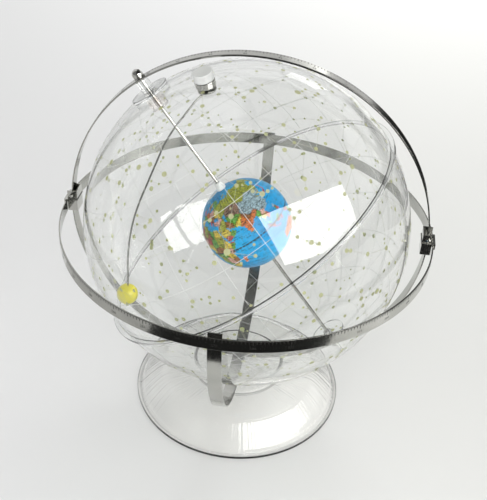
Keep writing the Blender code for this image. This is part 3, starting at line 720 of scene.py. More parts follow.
# Each constellation: its brighter stars as (right ascension in hours, declination in degrees,
# magnitude), and the chains of star numbers that its figure's lines join.
SKY = {
    "ursa_major": ([(11.06, 61.8, 1.8), (11.03, 56.4, 2.3), (11.90, 53.7, 2.4), (12.26, 57.0, 3.3),
        (12.90, 56.0, 1.8), (13.40, 54.9, 2.2), (13.79, 49.3, 1.9), (9.53, 63.1, 3.7), (8.50, 60.7, 3.4),
        (9.55, 51.7, 3.2), (8.99, 48.0, 3.1), (11.16, 44.5, 3.0), (10.37, 41.5, 3.0), (11.31, 33.1, 3.5),
        (11.77, 47.8, 3.7)], [(0, 1, 2, 3, 4, 5, 6), (3, 0, 7, 8), (1, 9, 10), (2, 14, 11, 12),
        (14, 13)]),
    "ursa_minor": ([(2.53, 89.3, 2.0), (17.54, 86.6, 4.4), (16.77, 82.0, 4.2), (15.73, 77.8, 4.3),
        (14.85, 74.2, 2.1), (15.35, 71.8, 3.0), (16.29, 75.8, 5.0)], [(0, 1, 2, 3, 4, 5, 6, 3)]),
    "draco": ([(17.94, 51.5, 2.2), (17.51, 52.3, 2.8), (17.54, 55.2, 4.9), (17.89, 56.9, 3.8),
        (19.21, 67.7, 3.1), (19.80, 70.3, 3.8), (18.35, 72.7, 3.6), (17.15, 65.7, 3.2),
        (16.40, 61.5, 2.7), (16.03, 58.6, 4.0), (15.42, 59.0, 3.3), (14.07, 64.4, 3.7),
        (12.56, 69.8, 3.9), (11.52, 69.3, 3.8)], [(3, 0, 1, 2, 3, 4, 5, 6, 7, 8, 9, 10, 11, 12, 13)]),
    "cassiopeia": ([(0.15, 59.2, 2.3), (0.68, 56.5, 2.2), (0.95, 60.7, 2.2), (1.43, 60.2, 2.7),
        (1.91, 63.7, 3.4)], [(0, 1, 2, 3, 4)]),
    "cepheus": ([(21.31, 62.6, 2.5), (21.48, 70.6, 3.2), (23.66, 77.6, 3.2), (22.83, 66.2, 3.5),
        (22.18, 58.2, 3.4), (20.76, 61.8, 3.4)], [(5, 0, 1, 2, 3, 4, 0), (1, 3)]),
    "bootes": ([(14.26, 19.2, 0.0), (14.75, 27.1, 2.4), (15.26, 33.3, 3.5), (15.03, 40.4, 3.5),
        (14.54, 38.3, 3.0), (14.53, 30.4, 3.6), (13.91, 18.4, 2.7), (14.69, 13.7, 3.8),
        (14.42, 51.9, 4.0)], [(0, 1, 2, 3, 4, 5, 0, 6), (0, 7), (4, 8)]),
    "corona_borealis": ([(15.55, 31.4, 4.1), (15.46, 29.1, 3.7), (15.58, 26.7, 2.2), (15.71, 26.3, 3.8),
        (15.83, 26.1, 4.6), (15.96, 26.9, 4.1)], [(0, 1, 2, 3, 4, 5)]),
    "hercules": ([(16.50, 21.5, 2.8), (16.69, 31.6, 2.8), (16.72, 38.9, 3.5), (17.25, 36.8, 3.2),
        (17.01, 30.9, 3.9), (17.25, 24.8, 3.1), (17.24, 14.4, 3.1), (17.77, 27.7, 3.4),
        (16.37, 19.2, 3.7), (17.66, 46.0, 3.8), (17.94, 37.3, 3.9), (16.33, 46.3, 3.9),
        (16.57, 42.4, 4.2), (18.13, 28.8, 3.8)], [(8, 0, 1, 2, 3, 4, 1), (4, 5, 6), (5, 7, 13),
        (3, 10, 9), (2, 12, 11)]),
    "lyra": ([(18.62, 38.8, 0.0), (18.75, 37.6, 4.4), (18.84, 33.4, 3.5), (18.98, 32.7, 3.2),
        (18.91, 36.9, 4.3)], [(0, 1, 2, 3, 4, 1)]),
    "cygnus": ([(20.69, 45.3, 1.3), (20.37, 40.3, 2.2), (19.94, 35.1, 3.9), (19.51, 28.0, 3.1),
        (19.75, 45.1, 2.9), (20.77, 34.0, 2.5), (21.22, 30.2, 3.2), (19.29, 53.4, 3.8)], [(0, 1, 2, 3),
        (6, 5, 1, 4, 7)]),
    "aquila": ([(19.85, 8.9, 0.8), (19.77, 10.6, 2.7), (19.92, 6.4, 3.7), (19.43, 3.1, 3.4),
        (19.09, 13.9, 3.0), (20.19, -0.8, 3.2), (19.10, -4.9, 3.4)], [(1, 0, 2, 5), (0, 3, 6), (1, 4)]),
    "delphinus": ([(20.66, 15.9, 3.8), (20.63, 14.6, 3.6), (20.78, 16.1, 3.9), (20.72, 15.1, 4.4),
        (20.55, 11.3, 4.0)], [(4, 1, 0, 2, 3, 1)]),
    "sagitta": ([(19.98, 19.5, 3.5), (19.79, 18.5, 3.8), (19.67, 18.0, 4.4), (19.68, 17.5, 4.4)],
        [(0, 1, 2), (1, 3)]),
    "ophiuchus": ([(17.58, 12.6, 2.1), (17.73, 4.6, 2.8), (17.17, -15.7, 2.4), (16.62, -10.6, 2.6),
        (16.31, -4.7, 3.2), (16.24, -3.7, 2.7), (16.96, 9.4, 3.2), (17.98, -9.8, 3.3),
        (17.37, -25.0, 3.3)], [(0, 1, 2, 3, 4, 5, 6, 0), (1, 7), (2, 8)]),
    "serpens": ([(15.77, 15.4, 3.7), (15.94, 15.7, 3.8), (15.81, 18.1, 4.1), (15.58, 10.5, 3.8),
        (15.74, 6.4, 2.6), (15.85, 4.5, 3.7), (15.83, -3.4, 3.5), (17.63, -15.4, 3.5), (18.36, -2.9, 3.3),
        (18.94, 4.2, 4.6)], [(6, 5, 4, 3, 0, 2, 1, 0), (7, 8, 9)]),
    "virgo": ([(13.42, -11.2, 1.0), (12.69, -1.5, 2.7), (13.04, 11.0, 2.8), (12.93, 3.4, 3.4),
        (12.33, -0.7, 3.9), (11.85, 1.8, 3.6), (13.58, -0.6, 3.4), (14.03, 1.5, 4.3), (14.77, 1.9, 3.7),
        (13.17, -5.5, 4.4), (14.27, -6.0, 4.1), (14.72, -5.7, 3.9)], [(5, 4, 1, 3, 2), (1, 9, 0, 10, 11),
        (3, 6, 7, 8), (6, 0)]),
    "libra": ([(14.85, -16.0, 2.8), (15.28, -9.4, 2.6), (15.59, -14.8, 3.9), (15.07, -25.3, 3.3)],
        [(3, 0, 1, 2, 0)]),
    "leo": ([(10.14, 12.0, 1.4), (10.12, 16.8, 3.5), (10.33, 19.8, 2.2), (10.28, 23.4, 3.4),
        (9.88, 26.0, 3.9), (9.76, 23.8, 3.0), (11.24, 20.5, 2.6), (11.82, 14.6, 2.1), (11.24, 15.4, 3.3)],
        [(5, 4, 3, 2, 1, 0, 8, 7, 6, 2), (6, 8)]),
    "canes": ([(12.93, 38.3, 2.9), (12.56, 41.4, 4.3)], [(0, 1)]),
    "coma": ([(13.20, 27.9, 4.3), (12.45, 28.3, 4.4), (13.17, 17.5, 4.3)], [(1, 0, 2)]),
    "corvus": ([(12.26, -17.5, 2.6), (12.50, -16.5, 2.9), (12.57, -23.4, 2.7), (12.17, -22.6, 3.0),
        (12.14, -24.7, 4.0)], [(3, 0, 1, 2, 3, 4)]),
    "crater": ([(11.00, -18.3, 4.1), (11.32, -14.8, 3.6), (11.42, -17.7, 4.1), (11.19, -22.8, 4.5)],
        [(0, 1, 2, 3, 0)]),
    "hydra": ([(8.63, 5.7, 4.1), (8.78, 6.4, 3.4), (8.92, 6.0, 3.1), (8.72, 3.4, 4.3), (9.24, 2.3, 3.9),
        (9.67, -1.1, 3.9), (9.46, -8.7, 2.0), (10.18, -12.4, 3.6), (10.44, -16.8, 3.8),
        (10.83, -16.2, 3.1), (11.55, -31.9, 3.5), (11.88, -33.9, 4.3), (13.32, -23.2, 3.0),
        (14.11, -26.7, 3.3)], [(3, 0, 1, 2, 4, 5, 6, 7, 8, 9, 10, 11, 12, 13)]),
    "scorpius": ([(16.09, -19.8, 2.6), (16.01, -22.6, 2.3), (15.98, -26.1, 2.9), (16.35, -25.6, 2.9),
        (16.49, -26.4, 1.0), (16.60, -28.2, 2.8), (16.84, -34.3, 2.3), (16.86, -38.0, 3.0),
        (16.91, -42.4, 3.6), (17.20, -43.2, 3.3), (17.62, -43.0, 1.9), (17.79, -40.1, 3.0),
        (17.71, -39.0, 2.4), (17.56, -37.1, 1.6)], [(0, 1, 2), (1, 3, 4, 5, 6, 7, 8, 9, 10, 11, 12, 13)]),
    "sagittarius": ([(18.40, -34.4, 1.8), (18.35, -29.8, 2.7), (18.47, -25.4, 2.8), (18.92, -26.3, 2.0),
        (19.04, -29.9, 2.6), (18.76, -27.0, 3.2), (19.12, -27.7, 3.3), (18.10, -30.4, 3.0),
        (18.29, -36.8, 3.1)], [(7, 1, 0, 4, 6, 3, 5, 2, 1, 5, 4), (7, 0, 8)]),
    "centaurus": ([(14.66, -60.8, -0.3), (14.06, -60.4, 0.6), (13.67, -53.5, 2.3), (13.93, -47.3, 2.5),
        (14.11, -36.4, 2.1), (12.69, -49.0, 2.2), (12.14, -50.7, 2.6), (14.59, -42.2, 2.3),
        (13.34, -36.7, 2.7)], [(0, 1, 2, 3, 5, 6), (3, 8, 4, 7, 3)]),
    "crux": ([(12.44, -63.1, 0.8), (12.52, -57.1, 1.6), (12.80, -59.7, 1.3), (12.25, -58.7, 2.8)],
        [(0, 1), (2, 3)]),
    "lupus": ([(14.70, -47.4, 2.3), (14.98, -43.1, 2.7), (15.59, -41.2, 2.8), (15.36, -40.6, 3.2)],
        [(0, 1, 3, 2, 0)]),
    "argo": ([(6.40, -52.7, -0.7), (9.22, -69.7, 1.7), (8.38, -59.5, 1.9), (9.29, -59.3, 2.2),
        (10.72, -64.4, 2.7), (8.16, -47.3, 1.8), (8.75, -54.7, 1.9), (9.13, -43.4, 2.2),
        (9.37, -55.0, 2.5), (10.78, -49.4, 2.7), (8.06, -40.0, 2.2), (7.29, -37.1, 2.7),
        (8.13, -24.3, 2.8), (6.83, -50.6, 2.9)], [(0, 13, 11, 10, 12), (0, 2, 3, 4, 1, 0),
        (10, 5, 6, 8, 9, 7, 5)]),
    "triangulum_australe": ([(16.81, -69.0, 1.9), (15.92, -63.4, 2.8), (15.32, -68.7, 2.9)],
        [(0, 1, 2, 0)]),
    "ara": ([(17.53, -49.9, 2.9), (17.42, -55.5, 2.8), (16.98, -56.0, 3.1)], [(0, 1, 2)]),
    "pavo": ([(20.43, -56.7, 1.9), (20.75, -66.2, 3.4), (18.72, -71.4, 4.0)], [(0, 1, 2)]),
    "grus": ([(22.14, -47.0, 1.7), (22.71, -46.9, 2.1), (21.90, -37.4, 3.0)], [(2, 0, 1)]),
    "phoenix": ([(0.44, -42.3, 2.4), (1.10, -46.7, 3.3), (1.47, -43.3, 3.4)], [(0, 1, 2)]),
    "tucana": ([(22.31, -60.3, 2.9), (0.33, -64.9, 4.0)], [(0, 1)]),
    "hydrus": ([(0.43, -77.3, 2.8), (1.98, -61.6, 2.9), (3.79, -74.2, 3.2)], [(1, 2, 0)]),
    "eridanus": ([(5.13, -5.1, 2.8), (3.97, -13.5, 3.0), (3.72, -9.8, 3.5), (3.33, -21.8, 3.7),
        (4.30, -33.8, 3.6), (2.97, -40.3, 2.9), (2.28, -51.5, 3.6), (1.63, -57.2, 0.5)],
        [(0, 1, 2, 3, 4, 5, 6, 7)]),
    "orion": ([(5.92, 7.4, 0.5), (5.42, 6.3, 1.6), (5.53, -0.3, 2.2), (5.60, -1.2, 1.7),
        (5.68, -1.9, 1.8), (5.24, -8.2, 0.1), (5.80, -9.7, 2.1), (5.59, 9.9, 3.4), (4.83, 7.0, 3.2)],
        [(0, 7, 1, 2, 3, 4, 0), (2, 5, 6, 4), (1, 8)]),
    "canis_major": ([(6.75, -16.7, -1.5), (6.38, -18.0, 2.0), (6.98, -29.0, 1.5), (7.14, -26.4, 1.8),
        (7.40, -29.3, 2.4), (6.34, -30.1, 3.0)], [(1, 0, 3, 4), (3, 2, 5)]),
    "canis_minor": ([(7.66, 5.2, 0.4), (7.45, 8.3, 2.9)], [(0, 1)]),
    "gemini": ([(7.58, 31.9, 1.6), (7.76, 28.0, 1.1), (6.63, 16.4, 1.9), (6.73, 25.1, 3.0),
        (6.38, 22.5, 2.9), (7.34, 22.0, 3.5), (7.07, 20.6, 3.8), (6.25, 22.5, 3.3), (7.19, 30.3, 4.4)],
        [(1, 0, 8, 3, 4, 7), (1, 5, 6, 2)]),
    "auriga": ([(5.28, 46.0, 0.1), (5.99, 44.9, 1.9), (6.00, 37.2, 2.6), (5.44, 28.6, 1.7),
        (4.95, 33.2, 2.7), (5.03, 43.8, 3.0)], [(0, 1, 2, 3, 4, 5, 0)]),
    "taurus": ([(4.60, 16.5, 0.9), (5.63, 21.1, 3.0), (3.79, 24.1, 2.9), (4.33, 15.6, 3.7),
        (4.48, 19.2, 3.5), (4.01, 12.5, 3.5)], [(1, 0, 3, 4, 2), (3, 5)]),
    "perseus": ([(3.41, 49.9, 1.8), (3.14, 41.0, 2.1), (3.08, 53.5, 2.9), (3.72, 47.8, 3.0),
        (3.96, 40.0, 2.9), (3.90, 31.9, 2.9), (2.85, 55.9, 3.8), (3.09, 38.8, 3.4)], [(6, 2, 0, 3, 4, 5),
        (0, 1, 7)]),
    "andromeda": ([(0.14, 29.1, 2.1), (0.66, 30.9, 3.3), (1.16, 35.6, 2.1), (2.07, 42.3, 2.1),
        (0.95, 38.5, 3.9)], [(0, 1, 2, 3), (2, 4)]),
    "pegasus": ([(23.08, 15.2, 2.5), (23.06, 28.1, 2.4), (0.14, 29.1, 2.1), (0.22, 15.2, 2.8),
        (22.69, 10.8, 3.4), (22.17, 6.2, 3.5), (21.74, 9.9, 2.4), (22.72, 30.2, 2.9), (22.12, 25.3, 3.8)],
        [(0, 1, 2, 3, 0, 4, 5, 6), (1, 7), (1, 8)]),
    "pisces": ([(1.53, 15.3, 3.6), (2.03, 2.8, 3.8), (1.05, 7.9, 4.3), (0.81, 7.6, 4.4),
        (23.99, 6.9, 4.0), (23.67, 5.6, 4.1), (23.29, 3.3, 3.7)], [(0, 1, 2, 3, 4, 5, 6)]),
    "aries": ([(2.12, 23.5, 2.0), (1.91, 20.8, 2.6), (1.89, 19.3, 3.9), (2.83, 27.3, 3.6)],
        [(3, 0, 1, 2)]),
    "triangulum": ([(2.16, 35.0, 3.0), (1.89, 29.6, 3.4), (2.29, 33.8, 4.0)], [(0, 1, 2, 0)]),
    "cetus": ([(0.73, -18.0, 2.0), (3.04, 4.1, 2.5), (2.32, -3.0, 3.0), (1.14, -10.2, 3.4),
        (1.73, -15.9, 3.5), (1.86, -10.3, 3.7), (2.72, 3.2, 3.5), (0.32, -8.8, 3.6)],
        [(1, 6, 2, 5, 4, 0, 7, 3, 5)]),
    "aquarius": ([(21.53, -5.6, 2.9), (22.10, -0.3, 3.0), (22.36, -1.4, 3.8), (22.48, 0.0, 3.7),
        (20.80, -9.5, 3.8), (22.88, -7.6, 3.7), (22.91, -15.8, 3.3)], [(4, 0, 1, 2, 3, 5, 6)]),
    "capricornus": ([(20.29, -12.5, 3.6), (20.35, -14.8, 3.1), (21.10, -17.2, 4.1), (21.67, -16.7, 3.7),
        (21.78, -16.1, 2.9), (21.44, -22.4, 3.7), (20.86, -26.9, 4.1)], [(0, 1, 2, 3, 4, 5, 6, 1)]),
    "piscis_austrinus": ([(22.96, -29.6, 1.2), (22.53, -32.3, 4.3), (21.75, -33.0, 4.3)], [(0, 1, 2)]),
    "lepus": ([(5.55, -17.8, 2.6), (5.47, -20.8, 2.8), (5.09, -22.4, 3.2), (5.22, -16.2, 3.3)],
        [(0, 1, 2, 3, 0)]),
    "columba": ([(5.66, -34.1, 2.6), (5.85, -35.8, 3.1)], [(0, 1)]),
    "cancer": ([(8.75, 18.2, 3.9), (8.28, 9.2, 3.5), (8.98, 11.9, 4.3), (8.72, 21.5, 4.7),
        (8.78, 28.8, 4.0)], [(4, 3, 0, 2), (0, 1)]),
    "lynx": ([(9.35, 34.4, 3.1), (9.01, 41.8, 4.0), (8.38, 43.2, 4.2), (7.45, 49.2, 4.6)],
        [(0, 1, 2, 3)]),
}


def star_spot(hours, degrees):
    return on_sphere(INK_RADIUS, STAR_TURN + math.radians((hours - 18) * 15), math.radians(degrees))


def great_arc(start, end):
    """Points along the sphere from one to the other."""
    angle = start.angle(end)
    count = max(2, math.ceil(angle / FIGURE_STEP))
    return [(start * math.sin(angle * (1 - i / count)) + end * math.sin(angle * i / count))
            / math.sin(angle) for i in range(count + 1)]


stars, figures, grid = Sheaf(), Sheaf(), Sheaf()
for places, chains in SKY.values():
    for hours, degrees, magnitude in places:
        radius = STAR_RADIUS - STAR_SHRINKAGE * max(magnitude, BRIGHTEST)
        stars.add(disc_parts(star_spot(hours, degrees) * STAR_LIFT, max(radius, SMALLEST_RADIUS),
                             INK_HEIGHT))
    for chain in chains:
        spots = [star_spot(*places[i][:2]) for i in chain]
        for start, end in zip(spots, spots[1:]):
            figures.add(ribbon_parts(great_arc(start, end), FIGURE_HALF_WIDTH, INK_HEIGHT))

# Faint stars are strewn evenly over the sky, short of the poles.
faint = random.Random(5)
for _ in range(FAINT_STARS):
    spot = on_sphere(INK_RADIUS, faint.uniform(0, 2 * math.pi), math.asin(faint.uniform(-0.97, 0.97)))
    stars.add(disc_parts(spot * STAR_LIFT, faint.choice(FAINT_RADII), INK_HEIGHT, sides=12))

# Each hour line has a gap on the equator, where the half spheres' flanges stand.
for hour in range(24):
    longitude = STAR_TURN + math.radians(15 * hour)
    reach = math.radians(84 if hour % 6 == 0 else 75)
    line = [on_sphere(INK_RADIUS, longitude, -reach + 2 * reach * i / 72) for i in range(73)]
    for half in (line[:36], line[37:]):
        grid.add(ribbon_parts(half, GRID_HALF_WIDTH, GRID_HEIGHT))
for degrees in range(-75, 90, 15):
    if degrees:
        circle = [on_sphere(INK_RADIUS, turn, math.radians(degrees)) for turn in full_turn(144)]
        grid.add(ribbon_parts(circle, GRID_HALF_WIDTH, GRID_HEIGHT, wrap=True))


def repaint(item, material, is_changed):
    """A second material for the faces that the test picks out."""
    item.data.materials.append(material)
    for face in item.data.polygons:
        if is_changed(face):
            face.material_index = 1


grid.build("sky_grid", POLAR, GRID_INK, "celestial_sphere")
figures.build("sky_figures", POLAR, FIGURE_INK, "celestial_sphere")
repaint(stars.build("sky_stars", POLAR, STAR_INK, "celestial_sphere"), STAR_BACK,
        lambda face: face.normal.dot(face.center - CENTRE.translation) < 0)

# ---------------------------------------------------------------- knob, arm and Sun

SHAFT_RADIUS = 0.0020
SHAFT_BORE = SHAFT_RADIUS + GAP
CAP_RADIUS = 0.00875
CAP_LOW, CAP_HIGH = 0.1586, 0.1664
SHAFT_LOW, SHAFT_HIGH = SPHERE_INSIDE - 0.0045, CAP_HIGH - 0.0040
FERRULE_RADIUS = 0.0088
FERRULE_LOW, FERRULE_HIGH = SPHERE_RADIUS + 0.0004, CAP_LOW - GAP
INNER_WASHER_RADIUS = 0.0080
INNER_WASHER_LOW, INNER_WASHER_HIGH = SPHERE_INSIDE - 0.0028, SPHERE_INSIDE - 0.0014

cap = rounded([(0, CAP_HIGH), (CAP_RADIUS, CAP_HIGH), (CAP_RADIUS, CAP_LOW), (SHAFT_BORE, CAP_LOW),
               (SHAFT_BORE, SHAFT_HIGH + GAP), (0, SHAFT_HIGH + GAP)], 0.0009, steps=5, closed=False)
# Painted shade: the cap's top faces take the greyer top material.
repaint(turned("knob_cap", cap, SUN, WHITE, "sun", "white_plastic", "ecliptic_knob", closed=False),
        CAP_TOP_PAINTED_SHADE, lambda face: (SUN.inverted() @ face.center).z > CAP_HIGH - 0.0002)
turned("knob_shaft", [(0, SHAFT_HIGH), (SHAFT_RADIUS, SHAFT_HIGH), (SHAFT_RADIUS, SHAFT_LOW),
                      (0, SHAFT_LOW)], SUN, BRIGHT, "sun", "bright_steel", "ecliptic_shaft",
       steps=32, closed=False)
collar("knob_collar", FERRULE_RADIUS, SHAFT_BORE, FERRULE_LOW, FERRULE_HIGH, 0.0003, SUN, BRIGHT,
       "sun", "bright_steel", "knob_ferrule")
collar("shaft_washer", INNER_WASHER_RADIUS, SHAFT_BORE, INNER_WASHER_LOW, INNER_WASHER_HIGH, 0.0003,
       SUN, BRIGHT, "sun", "bright_steel", "inner_washer")

ARM_KNOTS = ((1.3, 0.1457), (5.0, 0.1440), (11.0, 0.1388), (16.0, 0.1358), (23.0, 0.1310),
             (30.0, 0.1258), (38.0, 0.1222), (47.0, 0.1210), (56.0, 0.1210), (65.0, 0.1214),
             (74.0, 0.1228))        # degrees from the ecliptic pole, distance from the centre
ARM_BEFORE, ARM_BEYOND = 0.0140, 0.0130    # the straight stretch, from the Sun's middle
ARM_ALONG = Vector((math.sin(ARM_LEAN), 0.0, -math.cos(ARM_LEAN)))
SUN_SPOT = Vector((SUN_ORBIT, 0.0, 0.0))


def arm_route(steps):
    """The bent wire in its own X-Z plane: Catmull-Rom spans, then straight through the Sun."""
    knots = [Vector((r * math.sin(math.radians(a)), 0, r * math.cos(math.radians(a))))
             for a, r in ARM_KNOTS]
    knots += [SUN_SPOT - ARM_ALONG * ARM_BEFORE, SUN_SPOT + ARM_ALONG * ARM_BEYOND]
    route = []
    for i in range(len(knots) - 1):
        before, start = knots[max(i - 1, 0)], knots[i]
        end, after = knots[i + 1], knots[min(i + 2, len(knots) - 1)]
        straight = i == len(knots) - 2
        for step in range(1 if straight else steps):
            t = step / steps
            route.append(0.5 * ((2 * start) + (end - before) * t
                                + (2 * before - 5 * start + 4 * end - after) * t ** 2
                                + (3 * start - before - 3 * end + after) * t ** 3))
    route.append(knots[-1])
    return route


route = arm_route(6)
loops = []
for i, spot in enumerate(route):
    along = (route[min(i + 1, len(route) - 1)] - route[max(i - 1, 0)]).normalized()
    side = Vector((0, 1, 0))
    across = along.cross(side)
    loops.append([spot + ARM_RADIUS * (side * math.cos(a) + across * math.sin(a)) for a in full_turn(14)])
finish_mesh("arm_wire", *skin(loops, False), SUN, WIRE, "sun", "bright_steel", "sun_arm")

BALL = SUN @ Matrix.Translation(SUN_SPOT) @ Matrix.Rotation(math.pi - ARM_LEAN, 4, 'Y')
bead_end = math.acos((ARM_RADIUS + GAP) / SUN_RADIUS)
turned("sun_bead", arc(SUN_RADIUS, bead_end, -bead_end, 40), BALL, YELLOW, "sun", "sun_yellow",
       "sun_ball", steps=56)

# ---------------------------------------------------------------- the Earth

# Coastlines, as longitude and latitude in degrees.
LAND = {
    "eurasia": ((-9, 37), (-9, 43), (-2, 43.5), (-1, 46), (-5, 48.5), (2, 51), (8, 54), (8, 57),
        (10.5, 57.5), (10, 54.5), (19, 54.5), (21, 57), (24, 59), (30, 60), (24, 60.5), (21.5, 61),
        (22, 63.5), (25, 65), (22, 66), (18, 62), (17, 59), (15, 56), (12.5, 56), (11, 59), (6, 58.5),
        (5, 61.5), (11, 65), (16, 68.5), (25, 71), (31, 70), (41, 67), (35, 66.5), (38, 64), (44, 66),
        (46, 68), (55, 68.5), (68, 68.5), (68, 72.5), (73, 72.5), (73, 67.5), (80, 73), (90, 75.5),
        (104, 77.5), (113, 74), (128, 73), (140, 72.5), (160, 69.5), (180, 69), (180, 65), (172, 60.5),
        (163, 58), (162, 55), (157, 51.5), (155.5, 56), (160, 60.5), (155, 59.3), (143, 59), (135, 54.5),
        (140, 53), (140, 48), (132, 43.3), (129.5, 41), (127.5, 39.5), (129.4, 36.5), (128.5, 35),
        (126.5, 34.5), (126.5, 37.5), (124.5, 39.8), (121.5, 39), (121.5, 40.8), (118, 39), (119, 37.3),
        (122, 37), (119.5, 35), (121.8, 31.5), (121, 28), (118, 24.5), (114, 22.5), (110, 21),
        (108, 21.5), (106, 19), (108.5, 15.5), (109, 12), (106.5, 10), (105, 9), (104.5, 10.5),
        (102.5, 12), (100.5, 13.5), (99.5, 10), (100.5, 7), (103, 5), (103.5, 1.5), (101, 3), (100, 6.5),
        (98.5, 9), (98.5, 14), (97, 17), (94.3, 16), (94, 19), (91.5, 22.5), (88.5, 21.8), (86.5, 20.5),
        (82, 16.7), (80, 15), (80, 12), (79, 10), (77.5, 8), (76, 10.5), (74, 14.5), (72.8, 19),
        (72.5, 21.5), (70.5, 21), (69, 22.3), (67.5, 24), (66, 25.3), (61, 25.2), (57, 26.8), (54, 26.6),
        (51, 29), (48.5, 30.2), (48, 29), (50, 26.8), (51.5, 25), (54.5, 24.3), (56.2, 26.2), (57, 24),
        (59.8, 22.5), (57.7, 19), (55, 17), (52, 15.7), (47, 13.5), (43.5, 12.8), (42.7, 16), (39, 21),
        (36, 26), (34.8, 29.4), (34.3, 31.3), (36, 34.5), (36, 36.5), (30.5, 36.5), (27.5, 37),
        (26.3, 39.5), (29, 41), (35, 42), (41, 41.5), (37, 45), (39, 47.2), (35, 46.3), (33, 46),
        (30.5, 46), (28, 43.5), (28.5, 41.3), (23.5, 40.5), (24, 38), (22.5, 36.7), (21, 39),
        (19.5, 41.5), (15.5, 44), (13.5, 45.6), (12.3, 44.5), (15, 42), (18.3, 40), (16.5, 38.5),
        (15.7, 40), (12, 41.8), (8.8, 44.4), (6, 43.1), (3.2, 43.2), (0, 40), (-0.5, 37.7), (-5.5, 36.1)),
    "africa": ((-6, 35.8), (3, 36.8), (10.5, 37.2), (11, 33.5), (19.5, 30.5), (25, 31.8), (32.5, 31.2),
        (34, 27), (37, 21), (39.5, 15.5), (43, 11.7), (51, 12), (48, 5), (42, -1.5), (39, -6),
        (40.6, -15), (35, -20), (35.5, -24), (32.5, -28), (28, -33), (20, -34.8), (17.5, -31),
        (14.5, -22.5), (12, -16.5), (13.5, -9), (9, -1), (9.5, 4), (4.5, 6.3), (-4, 5), (-8, 4.5),
        (-13, 8.5), (-17, 14.5), (-16.5, 21), (-13, 27.7), (-9.5, 31)),
    "australia": ((114, -22), (113.5, -26), (115.5, -34), (118, -35), (124, -33.5), (129, -31.7),
        (135, -34.5), (137.8, -33), (138, -35.5), (141, -38.3), (146, -39), (150, -37.3), (153.5, -29),
        (153, -25.5), (149, -21), (146, -18.8), (145.3, -15), (142.5, -11), (141, -14), (140.5, -17.5),
        (136, -15), (136.8, -12.2), (132, -11.3), (129.5, -15), (125.5, -14), (122, -18)),
    "north_america": ((-168, 66), (-157, 71), (-128, 70), (-110, 68), (-95, 68.5), (-94, 59), (-82, 55),
        (-79, 52), (-77, 58), (-78, 62), (-65, 59), (-56, 52.5), (-65, 49.5), (-66, 44.5), (-70, 42),
        (-75, 39), (-76, 35), (-81, 31), (-80.3, 25.5), (-82.5, 28), (-84, 30), (-90, 29.5), (-97, 28),
        (-97.5, 21), (-94, 18), (-90.5, 21), (-87, 21), (-88, 16), (-83.5, 15), (-83, 9.5), (-79.5, 9),
        (-85, 10), (-92, 14.5), (-96, 16), (-105, 20), (-109, 26), (-114, 31), (-109.5, 23), (-115, 29),
        (-118, 34), (-124, 40), (-124, 48), (-131, 54), (-140, 60), (-152, 59.5), (-162, 55),
        (-158, 58.5), (-166, 62)),
    "south_america": ((-78, 8), (-72, 12), (-62, 10.5), (-50, 0.5), (-35, -6.5), (-39, -17), (-48, -26),
        (-57, -37), (-65, -42), (-69, -52), (-74.5, -50), (-73, -38), (-70, -18), (-76, -14), (-81, -5),
        (-80, 1)),
    "greenland": ((-45, 60), (-40, 65), (-22, 70.5), (-20, 80), (-35, 83.3), (-60, 81.5), (-70, 77.5),
        (-55, 70)),
    "baffin": ((-65, 62), (-62, 67), (-80, 74), (-90, 72), (-73, 65)),
    "new_guinea": ((131, -0.8), (138, -1.7), (144, -4), (147.5, -6), (150.5, -10.5), (146, -9), (141, -9),
        (138, -8), (137.5, -5), (133, -4)),
    "borneo": ((109, 1.5), (113, 3.2), (117, 7), (119, 5), (117.5, 1), (116, -3.5), (111, -3.2),
        (109.5, -0.5)),
    "sumatra": ((95.3, 5.6), (98, 4.2), (103.5, 0.5), (106, -3), (105.8, -5.8), (104, -5.5),
        (100.5, -1.5), (97, 2.5)),
    "java": ((105.2, -6.6), (108.5, -6.4), (114.4, -7.5), (114, -8.8), (108, -8)),
    "sulawesi": ((119, 0.8), (125, 1.6), (121.5, -1), (123.3, -4), (120.5, -5.7), (119, -3)),
    "luzon": ((120.5, 18.3), (122, 18.3), (124, 13), (126.3, 9), (125.5, 6), (122, 7.5), (120, 14)),
    "honshu": ((130, 33), (131, 34.5), (136, 36), (139.5, 38.5), (141, 42), (141.8, 45.4), (145.3, 43.5),
        (142.2, 41), (140.8, 35.6), (136, 33.5), (131.5, 31)),
    "sakhalin": ((142, 46.2), (142.3, 54), (144.5, 49)),
    "taiwan": ((120.1, 23), (121.8, 25.3), (120.9, 21.9)),
    "sri_lanka": ((79.8, 9.8), (82, 7.3), (80.3, 5.9)),
    "madagascar": ((49.3, -12.2), (50.3, -15.8), (47, -25), (44, -24), (44.5, -16.5)),
    "britain": ((-5.5, 50.1), (1.3, 51.2), (0, 53), (-2, 57.5), (-5, 58.6), (-4.5, 54)),
    "ireland": ((-6.2, 52.2), (-6, 54.8), (-8.3, 55), (-10, 52)),
    "iceland": ((-24, 65.5), (-16, 66.4), (-14, 64.8), (-19, 63.4)),
    "novaya": ((52, 71), (57, 70.7), (68, 76.5), (60, 76)),
    "new_zealand": ((173, -35), (178, -38), (174.5, -41), (171.5, -44), (168.5, -46.5), (166.5, -46),
        (172, -40.5)),
    "tasmania": ((145, -41), (148.3, -41), (147.5, -43.5), (146, -43.5)),
}
CASPIAN = ((47, 45.5), (51.5, 46.8), (53, 45), (52.5, 41), (54, 37), (50, 37.5), (49.5, 40.5), (47.5, 43))
TINTS = {
    "o": (0.36, 0.40, 0.04), "m": (0.30, 0.18, 0.13), "b": (0.33, 0.46, 0.52), "c": (0.66, 0.18, 0.04),
    "y": (0.74, 0.58, 0.07), "g": (0.14, 0.40, 0.06), "r": (0.52, 0.07, 0.06), "n": (0.34, 0.14, 0.04),
    "p": (0.75, 0.42, 0.34), "w": (0.84, 0.88, 0.90),
}
